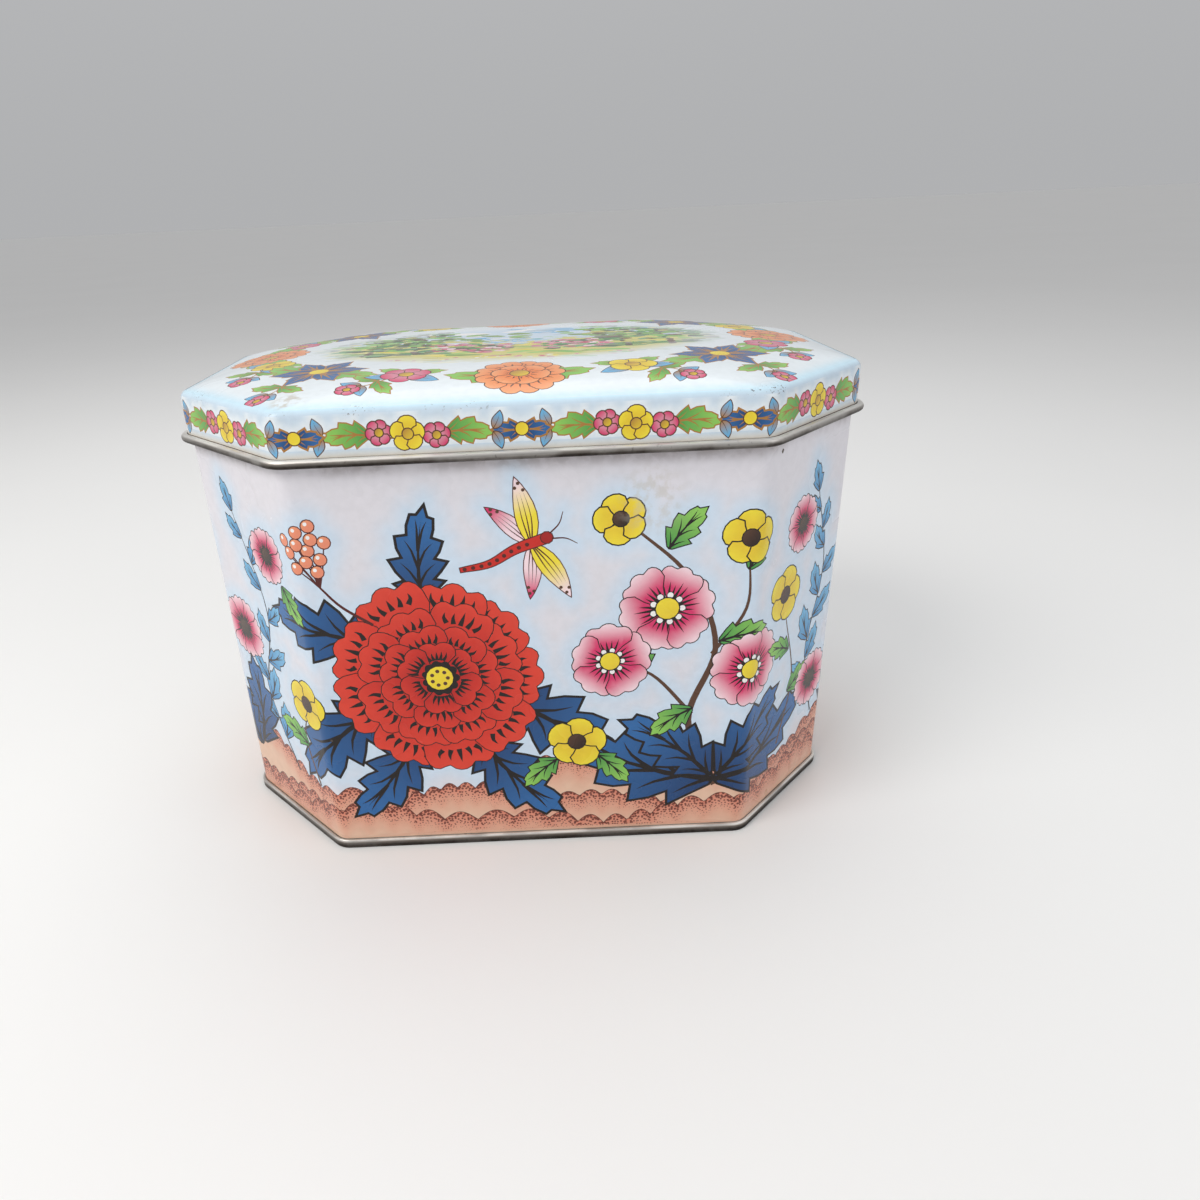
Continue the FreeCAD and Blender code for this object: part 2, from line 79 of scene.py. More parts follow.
# The dome of the lid: size of each level as a share of the lid, and how far its corners have run together.
DOME_SHARES = [
    (0.0, 0.86), (0.2, 0.86), (0.45, 0.76), (0.64, 0.62),
    (0.78, 0.46), (0.88, 0.28), (0.95, 0.12), (1.0, 0.0)]
DOME_POWER = 6

# Smudges: place, size and strength.
SMUDGES = [((0.033, -0.065, 0.111), 0.012, 0.4), ((-0.0588, -0.0598, 0.1396), 0.006, 0.8)]

# Inks and finishes: name, colour as seen, meaning.
INKS = [
    ("ground", "e2dfe5", "Ground of the body's print"),
    ("halo", "cfe0f0", "Pale blue round the body's flowers"),
    ("skirt_ground", "cbdcea", "Ground of the lid's skirt"),
    ("lid_ground", "e8eff3", "Ground of the lid's top"),
    ("lid_edge", "cdeaf8", "Blue band along the lid's edge"),
    ("cream", "e6dfd2", "Lower edge of the lid's skirt, yellowed"),
    ("black", "1d1614", "Bold outlines"),
    ("navy", "1c3a68", "Dark leaves, at the rib"),
    ("blue", "2f68a4", "Dark leaves, at the edge"),
    ("sky", "6fb4de", "Light blue sprigs"),
    ("azure", "3f86bd", "Light blue sprigs, at the rib"),
    ("red", "cd2b22", "Large bloom"),
    ("scarlet", "df4532", "Large bloom, at the edge of a petal"),
    ("crimson", "a51c1c", "Large bloom, in its heart"),
    ("pink", "d8356a", "Blossoms, in the heart"),
    ("blush", "fae0e6", "Blossoms, at the edge of a petal"),
    ("yellow", "f3de3c", "Small flowers"),
    ("amber", "e9c934", "Small flowers, in the heart"),
    ("gold", "ad7a3c", "Outlines of the lid's print"),
    ("brown", "5a3c2c", "Hearts and stems"),
    ("green", "8ec85c", "Light leaves"),
    ("moss", "45944a", "Light leaves, at the rib"),
    ("orange", "ef8648", "Blooms on the lid"),
    ("peach", "f5a873", "Blooms on the lid, at the edge of a petal"),
    ("coral", "ea8f70", "Berries"),
    ("salmon", "d9846c", "Hills at the foot, low"),
    ("sand", "e6c0a6", "Hills at the foot, high"),
    ("maroon", "54201c", "Stipple"),
    ("rose", "d9879b", "Bushes in the garden picture"),
    ("straw", "d8d076", "Lawn in the garden picture"),
    ("forest", "3a5428", "Shade in the garden picture"),
    ("leafy", "7fa24a", "Trees in the garden picture"),
    ("bark", "664630", "Trunks in the garden picture"),
    ("white", "f6f4f2", "Dots and glints"),
    ("chip", "4d4138", "Bare spots where the print has chipped off"),
    ("stain", "c9c2b4", "Old stains"),
    ("tin", "dedbd6", "Tinplate"),
    ("foot", "8d8b88", "Seam round the foot"),
    ("worn_rim", "7d736a", "Rolled rim, dulled by handling"),
    # Painted highlight mixed with rub on the upper edges of the rim and the foot.
    ("rubbed", "ece9e3", "Upper edges of the rim and the foot, rubbed bright"),
    # Painted shade mixed with tarnish on the lower edges of the rim and the foot.
    ("tarnish", "2e2823", "Lower edges of the rim and the foot"),
    # Painted shadow mixed with dirt under the rim, and painted shade in the rim's crease.
    ("grime", "75625a", "Dirt under the rim and in its crease"),
    ("wire", "8a8784", "Hinge wire"),
    ("floor", "f3f2f0", "Floor of the studio"),
]


def linear(text):
    """A colour as seen, as six hexadecimal digits, in the renderer's own linear values."""
    shares = [int(text[place:place + 2], 16) / 255 for place in (0, 2, 4)]
    return [share / 12.92 if share < 0.04045 else ((share + 0.055) / 1.055) ** 2.4 for share in shares]


def ink_property(name, text, meaning):
    return bpy.props.FloatVectorProperty(
        name=name.replace("_", " ").capitalize(), description=meaning, default=linear(text),
        subtype="COLOR", size=3, min=0, max=1)


class TinBoxInks(bpy.types.PropertyGroup):
    """Colours of the print and of the bare metal."""
    __annotations__ = {row[0]: ink_property(*row) for row in INKS}


def length_property(name, metres, meaning):
    return bpy.props.FloatProperty(name=name, description=meaning, default=metres, unit="LENGTH")


class TinBoxSizes(bpy.types.PropertyGroup):
    """Sizes of the print and of the sheet that carries it."""
    corner_radius: length_property("Corner radius", 0.006, "Outside radius of the body's upright bends")
    edge_radius: length_property("Edge radius", 0.0025, "Outside radius of the lid's upper edge")
    dome_rise: length_property("Dome rise", 0.0054, "Rise of the lid above its edge")
    coat: length_property("Coat", 0.00005, "Print and varnish, over the bare sheet")
    foot_height: length_property("Foot height", 0.00306, "Lower edge of the body's print")
    garlands: bpy.props.IntProperty(
        name="Garlands", description="Repeats of the garland round the lid", default=10, min=2)
    seed: bpy.props.IntProperty(name="Seed", description="Start of the uneven hand in the print", default=7)


def ink(name):
    """An ink's colour; a colour that is already worked out stays as it is."""
    return np.array(getattr(bpy.context.scene.tin_box_inks, name)) if isinstance(name, str) else name


def mixed(first, second, share):
    """An ink with a share of another in it."""
    return ink(first) * (1 - share) + ink(second) * share


# Where the sheet is, read from the frame.

def reach(node, start, way):
    """How far a node's outside lies from the upright axis along a level direction."""
    mesh = frame["nodes"][node].data
    tree = BVHTree.FromPolygons([v.co for v in mesh.vertices], [tuple(p.vertices) for p in mesh.polygons])
    way = Vector(way).normalized()
    hit = tree.ray_cast(Vector(start) + way, -way)[0]
    if hit is None:
        raise RuntimeError(f"{node} has no wall there")
    return hit.dot(way)


class Wall:
    """The eight-sided outline of an upright wall: its reach to the end, the side and the cut corner."""

    def __init__(self, node, height, radius, coat):
        beside_seam = 20 * MM
        self.end = reach(node, (0, -beside_seam, height), (1, 0, 0)) + coat
        self.side = reach(node, (0, 0, height), (0, -1, 0)) + coat
        middle = (self.end - self.side) / 2
        self.corner = reach(node, (middle, middle, height), (1, -1, 0)) + coat
        self.radius = radius + coat
        self.cut = self.end + self.side - self.corner * math.sqrt(2)
        trim = self.radius * math.tan(BEND_TURN / 2)
        self.front_flat = self.end - self.cut - trim
        self.end_flat = self.side - self.cut - trim
        self.cut_flat = self.cut / math.sqrt(2) - trim
        self.bend = self.radius * BEND_TURN
        self.quarter = self.front_flat + self.end_flat + 2 * self.cut_flat + 2 * self.bend

    def bends(self):
        """Starts and ends of the bends along the outline, from the middle of the front."""
        first = self.front_flat
        second = first + self.bend + 2 * self.cut_flat
        return [(first, first + self.bend), (second, second + self.bend)]


def body_wall():
    sizes = bpy.context.scene.tin_box_sizes
    return Wall("front_body", BODY_TOP / 2, sizes.corner_radius, sizes.coat)


def lid_wall():
    """The skirt's outline, whose bends have the same centres as the body's."""
    sizes = bpy.context.scene.tin_box_sizes
    height = PIN.z + 2 * RIM_RADIUS
    outside = Wall("lid", height, 0, sizes.coat)
    return Wall("lid", height, sizes.corner_radius + outside.end - body_wall().end, sizes.coat)


def lid_edge():
    """Height at which the lid's skirt and its top would meet without the rounded edge."""
    return LID_HIGH.z - bpy.context.scene.tin_box_sizes.dome_rise


# Flat shapes, from 0 to 1 along their own axis.

def placed(points, at, size=1.0, turn=0.0, bend=0.0):
    """Points bent to an arc, turned in degrees, sized and moved."""
    points = np.asarray(points, float)
    if bend:
        angle = bend * points[:, 0]
        across = points[:, 1]
        points = np.stack([np.sin(angle) / bend - across * np.sin(angle),
                           (1 - np.cos(angle)) / bend + across * np.cos(angle)], axis=1)
    c = math.cos(math.radians(turn))
    s = math.sin(math.radians(turn))
    return points @ np.array([[c, s], [-s, c]]) * size + np.asarray(at, float)


def polar(at, distance, turn):
    """The point at a distance from another, in a direction in degrees."""
    return placed([(1, 0)], at, distance, turn)[0]


def disc(sides=14):
    """A round outline of radius 1."""
    turns = [2 * math.pi * step / sides for step in range(sides)]
    return [(math.cos(turn), math.sin(turn)) for turn in turns]


def fan(lobes, spread, depth, heart=0.1):
    """A petal seen from above, spread in degrees to each side, with a scalloped outer edge."""
    half = math.radians(spread)
    steps = 5 * lobes + 2
    rim = []
    for step in range(steps + 1):
        share = step / steps
        bulge = abs(math.sin(math.pi * share * lobes)) ** 0.6
        radius = (1 - depth + depth * bulge) * (1 - 0.16 * (2 * share - 1) ** 4)
        angle = half * (2 * share - 1)
        rim.append((radius * math.cos(angle), radius * math.sin(angle)))
    low = [(heart * math.cos(half * 0.4), -heart * math.sin(half * 0.4)),
           (0.5 * math.cos(half * 0.86), -0.5 * math.sin(half * 0.86))]
    return low + rim + [(x, -y) for x, y in reversed(low)]


def swell(x, width):
    """Half the breadth of a smooth leaf at a place along its rib."""
    return width * math.sin(math.pi * x ** 0.8) ** 0.85


def teeth_of(count):
    """Roots and tips of a leaf's teeth along its rib."""
    return [((tooth + 0.12) / (count + 0.45), (tooth + 1.0) / (count + 0.45)) for tooth in range(count)]


def leaf_edge(width, teeth, bite):
    """A leaf with pointed teeth; without teeth it is smooth."""
    side = []
    for number, (root, tip) in enumerate(teeth_of(teeth)):
        middle = (root + tip) / 2
        if number:
            side.append((root, swell(root, width) * (1 - bite)))
        else:
            side.append((root * 0.6, swell(root * 0.6, width)))
        side.append((middle, swell(middle, width) * (1 - bite * 0.3)))
        side.append((tip, swell(tip, width) + width * bite * 0.25))
    if teeth:
        last = teeth_of(teeth)[-1][1]
        side.append((last + 0.01, swell(last, width) * (1 - bite)))
    else:
        side = [(x, swell(x, width)) for x in (0.06, 0.16, 0.3, 0.45, 0.6, 0.75, 0.88, 0.96)]
    return [(0, 0)] + [(x, -y) for x, y in side] + [(1, 0)] + side[::-1]


def ribbon(line, start_width, end_width=0.0):
    """A pen stroke along points."""
    line = np.asarray(line, float)
    way = np.gradient(line, axis=0)
    normal = np.stack([-way[:, 1], way[:, 0]], axis=1)
    normal /= np.linalg.norm(normal, axis=1)[:, None]
    share = np.linspace(0, 1, len(line))[:, None] ** 1.5
    half = (start_width * (1 - share) + end_width * share) / 2
    left = line + normal * half
    right = line - normal * half
    if end_width == 0:
        right = right[:-1]
    return np.concatenate([left[::-1], right])


def curve(points, steps=7):
    """A smooth line through given points."""
    points = [np.asarray(p, float) for p in points]
    points = [2 * points[0] - points[1]] + points + [2 * points[-1] - points[-2]]
    line = []
    for a, b, c, d in zip(points, points[1:], points[2:], points[3:]):
        for step in range(steps):
            t = step / steps
            line.append(0.5 * (2 * b + (c - a) * t + (2 * a - 5 * b + 4 * c - d) * t ** 2
                               + (3 * b - a - 3 * c + d) * t ** 3))
    return np.array(line + [points[-2]])


def grow(points, by):
    """An outline moved outwards."""
    before = points - np.roll(points, 1, axis=0)
    after = np.roll(points, -1, axis=0) - points
    out_before = np.stack([before[:, 1], -before[:, 0]], axis=1) / np.linalg.norm(before, axis=1)[:, None]
    out_after = np.stack([after[:, 1], -after[:, 0]], axis=1) / np.linalg.norm(after, axis=1)[:, None]
    mitre = out_before + out_after
    mitre /= np.maximum(np.linalg.norm(mitre, axis=1), 1e-6)[:, None]
    stretch = 1 / np.maximum((mitre * out_after).sum(axis=1), 0.4)
    return points + mitre * stretch[:, None] * by


def anticlockwise(points):
    """An outline without double points, in the order that keeps its inside on the left."""
    points = np.asarray(points, float)
    step = np.linalg.norm(points - np.roll(points, 1, axis=0), axis=1)
    points = points[step > 1e-4]
    nxt = np.roll(points, -1, axis=0)
    area = (points[:, 0] * nxt[:, 1] - nxt[:, 0] * points[:, 1]).sum()
    return points if area > 0 else points[::-1]


def along(start, end):
    """How far points lie from start to end, from 0 to 1."""
    start = np.asarray(start, float)
    way = np.asarray(end, float) - start
    return lambda points: np.clip((points - start) @ way / (way @ way), 0, 1)


def strip(width, low, high):
    """A level band from one end of a sheet to the other."""
    return [(0, low), (width, low), (width, high), (0, high)]


def nothing(points):
    """No tip ink and no stipple anywhere."""
    return np.zeros(len(points))


class Look(NamedTuple):
    """How a shape is printed: its ink, the ink at its tip, and the ink and weight of its outline."""
    first: object
    tip: object = None
    line: object = None
    weight: float = 0.0


NAVY = Look("navy", "blue", "black", 0.8)
GREEN = Look("moss", "green", "black", 0.35)
SKY = Look("azure", "sky", "black", 0.35)
PINK = Look("pink", "blush", "black", 0.3)
YELLOW = Look("amber", "yellow", "black", 0.4)
HEART = Look("yellow", "amber", "black", 0.35)
DARK_HEART = Look("brown", "black", "black", 0.3)
BERRY = Look("coral", "peach", "maroon", 0.3)
GILT_NAVY = Look("navy", "blue", "gold", 0.5)
GILT_GREEN = Look("moss", "green", "gold", 0.35)
GILT_SKY = Look("gold", "sky", "brown", 0.25)
GILT_PINK = Look("rose", "pink", "brown", 0.3)
GILT_YELLOW = Look("amber", "yellow", "brown", 0.3)
GILT_ORANGE = Look("orange", "peach", "brown", 0.3)
GILT_HEART = Look("gold", "amber", "brown", 0.3)


class Shape:
    """One printed shape: its ink runs into the tip ink where mix goes from 0 to 1; grain is stipple."""

    def __init__(self, points, first, tip=None, mix=nothing, grain=nothing):
        self.points = anticlockwise(points)
        self.first = ink(first)
        self.tip = ink(first if tip is None else tip)
        self.mix = mix
        self.grain = grain


class Sheet:
    """A flat sheet and the shapes printed on it, back to front, in millimetres."""

    def __init__(self, outline, ground, tint):
        self.shapes = [Shape(outline, ground, tint)]
        self.hand = random.Random(bpy.context.scene.tin_box_sizes.seed)

    def lay(self, points, look, mix=nothing, grain=nothing):
        """Prints a shape, over its own outline; a plain ink will do for the look."""
        look = look if isinstance(look, Look) else Look(look)
        shape = Shape(points, look.first, look.tip, mix, grain)
        if look.line is not None:
            self.shapes.append(Shape(grow(shape.points, look.weight), look.line))
        self.shapes.append(shape)

    def tint_near(self, points, distance):
        """Lets the ground take its tint near points."""
        tree = kdtree.KDTree(len(points))
        for number, (x, y) in enumerate(points):
            tree.insert((x, y, 0), number)
        tree.balance()

        def nearness(corners):
            gaps = np.array([tree.find((x, y, 0))[2] for x, y in corners])
            return np.exp(-(gaps / distance) ** 2)
        self.shapes[0].mix = nearness

    def outlines(self, first):
        """Points of the outlines of all shapes from a number on."""
        return np.concatenate([shape.points for shape in self.shapes[first:]])

    def pressed(self, pitch, cuts=(), rows=()):
        """The sheet as one flush layer of triangles: points, triangles, and ink and grain at each corner."""
        points = []
        faces = []
        edges = []
        for shape in self.shapes:
            faces.append(list(range(len(points), len(points) + len(shape.points))))
            points += [Vector(p) for p in shape.points]
        low = self.shapes[0].points.min(axis=0)
        high = self.shapes[0].points.max(axis=0)
        lines = [((cut, low[1]), (cut, high[1])) for cut in cuts]
        lines += [((low[0], row), (high[0], row)) for row in rows]
        for line in lines:
            steps = max(2, round(math.dist(*line) / pitch))
            edges += [(len(points) + step, len(points) + step + 1) for step in range(steps)]
            points += [Vector(spot) for spot in np.linspace(*line, steps + 1)]
        for row, y in enumerate(np.arange(low[1] + pitch / 2, high[1], pitch)):
            points += [Vector((x, y)) for x in np.arange(low[0] + pitch * (row % 2 + 1) / 2, high[0], pitch)]
        spots, _, triangles, _, _, owners = geometry.delaunay_2d_cdt(points, edges, faces, 0, 2e-3, True)
        inside = [number for number, owner in enumerate(owners) if 0 in owner]
        used, triangles = np.unique([triangles[number] for number in inside], return_inverse=True)
        spots = np.array(spots)[used]
        triangles = triangles.reshape(-1, 3)
        top = np.array([max(owners[number]) for number in inside])
        colours = np.zeros((len(top), 3, 3))
        grains = np.zeros((len(top), 3))
        for number in np.unique(top):
            shape = self.shapes[number]
            chosen = top == number
            corners = spots[triangles[chosen]].reshape(-1, 2)
            share = shape.mix(corners)[:, None]
            colours[chosen] = (shape.first * (1 - share) + shape.tip * share).reshape(-1, 3, 3)
            grains[chosen] = shape.grain(corners).reshape(-1, 3)
        return spots, triangles, colours, grains


# Motifs of the print, in millimetres.

def leaf(sheet, at, length, turn, look=NAVY, bend=0.0, width=0.24, teeth=4, bite=0.42, pen=0.03):
    """A leaf that grows from a point, with a rib, and a vein to each tooth."""
    def put(points):
        return placed(points, at, length, turn, bend)
    sheet.lay(put(leaf_edge(width, teeth, bite)), look, along(*put([(0, 0), (0.8, 0)])))
    sheet.lay(put(ribbon([(x, 0) for x in (0.0, 0.3, 0.6, 0.86)], pen * 1.5)), look.line)
    for root, tip in teeth_of(teeth):
        for side in (-1, 1):
            vein = [(root * 0.8, 0), (root * 0.4 + tip * 0.55, side * swell(tip, width) * 0.34),
                    (tip * 0.98, side * swell(tip, width) * 0.74)]
            sheet.lay(put(ribbon(curve(vein, 2), pen)), look.line)


def small_leaf(sheet, at, length, turn, look=GREEN, bend=0.0, teeth=3):
    """A broader leaf with shallow teeth."""
    leaf(sheet, at, length, turn, look, bend, 0.27, teeth, 0.32, 0.035)


def petals(sheet, at, radius, turn, look, count, lobes, depth, strokes=0, band=(0.2, 0.68), pen=0.05,
           heart=0.1):
    """A ring of overlapping petals, with pen strokes that run outwards over a band of each."""
    spread = 180 / count * 1.22
    for number in range(count):
        way = turn + 360 * number / count + sheet.hand.uniform(-4, 4)
        size = radius * sheet.hand.uniform(0.95, 1.05)

        def put(points):
            return placed(points, at, size, way)
        sheet.lay(put(fan(lobes, spread, depth, heart)), look, along(*put([(0.5, 0), (1.0, 0)])))
        for step in range(strokes):
            side = spread * 0.66 * (2 * (step + 0.5) / strokes - 1)
            near = band[0]
            far = near + (band[1] - near) * sheet.hand.uniform(0.75, 1.1) * (1 - 0.25 * abs(side) / spread)
            line = [polar((0, 0), distance, angle) for distance, angle in
                    ((near, side * 0.86), ((near + far) / 2, side * 1.06), (far, side))]
            sheet.lay(put(ribbon(curve(line, 2), pen)), look.line)


def dot(sheet, at, radius, look, sides=8):
    """A small round spot."""
    sheet.lay(placed(disc(sides), at, radius), look)


def button(sheet, at, radius, look, dots=0):
    """The heart of a flower, with a ring of dots round it."""
    for number in range(dots):
        spot = polar(at, radius * 1.28, 360 * number / dots)
        dot(sheet, spot, radius * 0.27, Look("white", None, look.line, look.weight * 0.6), 9)
    across = (radius, -radius)
    sheet.lay(placed(disc(), at, radius), look, along(np.subtract(at, across), np.add(at, across)))


def blossom(sheet, at, radius, turn=0, count=6, heart=HEART, dots=9):
    """A flower of scalloped pink petals."""
    petals(sheet, at, radius, turn, PINK, count, 3, 0.13, 4, pen=0.075)
    button(sheet, at, radius * 0.24, heart, dots)


def cup(sheet, at, radius, turn=0, look=YELLOW, heart=DARK_HEART, count=5):
    """A small flower of round petals."""
    petals(sheet, at, radius, turn, look, count, 1, 0.2, heart=0.2)
    button(sheet, at, radius * 0.3, heart)


def great_bloom(sheet, at, radius):
    """The large red bloom: rings of petals, smaller and darker towards the heart."""
    # Share of the radius, part hidden by the next ring, petals, turn and lobes of a petal.
    rings = [(1.0, 0.77, 9, 0, 3), (0.79, 0.72, 8, 25, 3), (0.58, 0.66, 7, 5, 2), (0.39, 0.5, 6, 30, 2)]
    for share, covered, count, turn, lobes in rings:
        look = Look(mixed("crimson", "red", share), mixed("red", "scarlet", share), "black", 0.28)
        band = (covered, covered + 0.62 * (1 - covered))
        petals(sheet, at, radius * share, turn, look, count, lobes, 0.1, 5, band, 0.05 / share ** 0.6, 0.16)
    sheet.lay(placed(fan(11, 180, 0.2), at, radius * 0.19), "black")
    button(sheet, at, radius * 0.125, HEART)
    for number in range(7):
        dot(sheet, polar(at, radius * 0.075, 360 * number / 7), radius * 0.02, "brown")


def berries(sheet, root, at, count, radius=1.9):
    """A cluster of berries on fine stalks that grow from one point."""
    spots = [polar(at, radius * 1.14 * math.sqrt(number + 0.3), number * 137.5) for number in range(count)]
    for spot in spots:
        sheet.lay(ribbon(curve([root, (np.add(root, spot) + (0.6, 0)) / 2, spot], 4), 0.5, 0.3), "maroon")
    for spot in spots:
        sheet.lay(placed(disc(12), spot, radius * 0.9), BERRY, along(spot, np.add(spot, (-radius, radius))))
        dot(sheet, np.add(spot, (-radius * 0.3, radius * 0.32)), radius * 0.3, "white", 7)


def stem(sheet, points, width=0.8, end=0.4, look="brown"):
    """A stem through points, thinner towards its end."""
    sheet.lay(ribbon(curve(points), width, end), look)


def sprig(sheet, points, pairs, length, look=SKY):
    """A stem with small leaves to both sides in turn, smaller towards its tip."""
    line = curve(points, 12)
    stem(sheet, points, 0.7, 0.35, "black")
    count = 2 * pairs
    for number in range(count + 1):
        place = round((number + 1.5) / (count + 1.5) * (len(line) - 1))
        place = min(place, len(line) - 1)
        way = line[place] - line[place - 1]
        heading = math.degrees(math.atan2(way[1], way[0]))
        if number == count:
            small_leaf(sheet, line[-1], length * 0.7, heading, look, teeth=2)
            break
        side = 1 if number % 2 else -1
        size = length * (1 - 0.35 * number / count) * sheet.hand.uniform(0.88, 1.12)
        lean = side * (48 + sheet.hand.uniform(-9, 9))
        small_leaf(sheet, line[place], size, heading + lean, look, -side * 0.5, 2)


def dragonfly(sheet, at, span, turn):
    """A dragonfly with two pairs of wings and a ringed tail."""
    wings = [(108, 0.84, "blush", "pink"), (72, 1.0, "yellow", "blush")]
    for angle, share, root, tip in wings:
        for side in (-1, 1):
            def put(points):
                return placed(points, at, span * share / 2, turn + side * angle, side * 0.25)
            sheet.lay(put(leaf_edge(0.15, 0, 0)), Look(root, tip, "maroon", 0.28),
                      along(*put([(0.45, 0), (0.9, 0)])))
            for lean in (-0.05, 0.0, 0.05):
                line = [(0.06, lean * 0.4), (0.4, lean * 1.3), (0.78, lean)]
                sheet.lay(put(ribbon(curve(line, 3), 0.022)), "maroon")
            for spot in ((0.86, 0.045), (0.8, -0.055), (0.91, -0.02)):
                dot(sheet, put([spot])[0], span * 0.013, "brown")
    tail = curve(placed([(0.16, 0), (-0.2, 0.02), (-0.55, -0.02), (-0.9, 0.05)], at, span * 0.6, turn))
    sheet.lay(ribbon(tail, span * 0.075, span * 0.03), Look("red", None, "maroon", 0.3))
    for step in range(4, len(tail) - 1, 2):
        dot(sheet, tail[step], span * 0.016, "maroon")
    dot(sheet, polar(at, span * 0.12, turn), span * 0.042, Look("crimson", None, "maroon", 0.3), 10)
    for side in (-1, 1):
        feeler = placed([(0.15, 0.02 * side), (0.24, 0.06 * side), (0.3, 0.13 * side)], at, span, turn)
        sheet.lay(ribbon(curve(feeler), 0.45, 0.2), "maroon")


def hills(sheet, half, foot):
    """Stippled hills along the foot, the far ones first."""
    depth = 7.5
    # Height, swing, phase and width of a bump.
    rows = [(23, 5, 0.6, 7.5), (15, 4, 2.4, 6.0), (9, 3, 4.1, 9.0)]
    for height, swing, phase, bump in rows:
        def crest(x, height=height, swing=swing, phase=phase, bump=bump):
            roll = height + swing * np.sin(x / 21 + phase) + 0.5 * swing * np.sin(x / 8.3 + 2 * phase)
            return roll + 0.36 * bump * np.abs(np.sin(np.pi * x / bump + np.sin(x / 13 + phase)))

        def below(points, reach_down=depth, crest=crest):
            return np.clip((crest(points[:, 0]) - points[:, 1]) / reach_down, 0, 1)
        across = np.arange(-half - 1, half + 2, 0.8)
        edge = np.stack([across, crest(across)], axis=1)
        points = np.concatenate([[(-half - 1, foot - 1), (half + 1, foot - 1)], edge[::-1]])
        sheet.lay(points, Look("salmon", "sand", "maroon", 0.2), lambda p, below=below: below(p, 1.6 * depth),
                  lambda p, below=below: 1 - below(p))


def body_print(sheet, half, foot):
    """Flowers over stippled hills, for one half of the body."""
    hills(sheet, half, foot)
    first_flower = len(sheet.shapes)
    bloom = (-27, 60)
    for turn, far, length, bend in (
            (208, 20, 42, 0.5), (246, 22, 35, -0.45), (296, 24, 37, 0.5),
            (335, 20, 42, -0.4), (150, 20, 36, 0.5), (96, 24, 28, -0.4)):
        leaf(sheet, polar(bloom, far, turn), length, turn, NAVY, bend)
    great_bloom(sheet, bloom, 31)
    stem(sheet, [(54, 18), (45, 42), (52, 66), (44, 88), (28, 104)], 2.2, 0.7)
    stem(sheet, [(51, 64), (60, 78), (60, 94)], 1.2)
    stem(sheet, [(46, 44), (34, 58), (22, 62)], 1.2)
    for at, length, turn, bend in (
            ((53, 20), 48, 172, -0.5), ((54, 20), 44, 12, 0.4),
            ((52, 22), 34, 128, 0.5), ((55, 22), 34, 58, -0.5)):
        leaf(sheet, at, length, turn, NAVY, bend)
    for at, length, turn, bend in (
            ((49, 74), 17, 150, 0.4), ((53, 68), 16, 20, -0.4), ((46, 46), 15, 205, 0.4),
            ((60, 90), 14, 60, 0.3), ((38, 97), 15, 60, -0.4), ((32, 60), 13, 100, 0.3),
            ((6, 30), 14, 215, 0.3), ((18, 31), 14, 320, -0.3)):
        small_leaf(sheet, at, length, turn, GREEN, bend)
    for at, radius, turn, count in (
            ((38, 79), 13.5, 10, 6), ((63, 58), 12.5, 40, 6), ((22, 63), 11.5, 20, 5)):
        blossom(sheet, at, radius, turn, count)
    for at, radius, turn in (((60, 99), 8, 18), ((25, 106), 7, 40), ((12, 36), 8.5, 10)):
        cup(sheet, at, radius, turn)
    stem(sheet, [(-44, 78), (-52, 84), (-57, 90)], 0.9, 0.6, "maroon")
    berries(sheet, (-57, 90), (-60, 101), 12)
    dragonfly(sheet, (1, 100), 38, 22)
    left_corner(sheet)
    right_corner(sheet)
    sheet.tint_near(sheet.outlines(first_flower), 4.0)


def left_corner(sheet):
    """Sprigs and small flowers left of the bloom, over the cut corner and onto the end."""
    sprig(sheet, [(-82, 20), (-92, 46), (-84, 76), (-94, 106)], 5, 14)
    stem(sheet, [(-70, 20), (-74, 36), (-70, 48)], 0.9)
    cup(sheet, (-70, 50), 8.5, 5)
    small_leaf(sheet, (-73, 34), 15, 150, GREEN, 0.4)
    blossom(sheet, (-101, 66), 10.5, 12, 8, DARK_HEART, 0)
    blossom(sheet, (-78, 96), 8.5, 0, 7, DARK_HEART, 0)
    small_leaf(sheet, (-72, 88), 13, 300, GREEN, 0.3)
    leaf(sheet, (-104, 22), 34, 70, NAVY, 0.5)
    leaf(sheet, (-106, 20), 30, 120, NAVY, -0.4)
    sprig(sheet, [(-122, 22), (-126, 50), (-120, 84)], 4, 14, GREEN)
    cup(sheet, (-119, 92), 8, 30)
    blossom(sheet, (-132, 44), 9)


def right_corner(sheet):
    """Sprigs and small flowers on the right, over the cut corner and onto the end."""
    sprig(sheet, [(104, 24), (96, 50), (102, 78), (94, 104)], 5, 14)
    stem(sheet, [(82, 22), (88, 44), (80, 70)], 0.9)
    cup(sheet, (79, 76), 8.5, 5)
    small_leaf(sheet, (86, 40), 15, 30, GREEN, -0.4)
    small_leaf(sheet, (84, 56), 13, 150, GREEN, 0.4)
    blossom(sheet, (86, 96), 8.5, 0, 7, DARK_HEART, 0)
    blossom(sheet, (101, 38), 10, 12, 8, DARK_HEART, 0)
    leaf(sheet, (112, 20), 32, 60, NAVY, 0.4)
    sprig(sheet, [(124, 22), (120, 56), (126, 92)], 4, 14, GREEN)
    blossom(sheet, (127, 100), 9)
    cup(sheet, (133, 50), 8, 30)


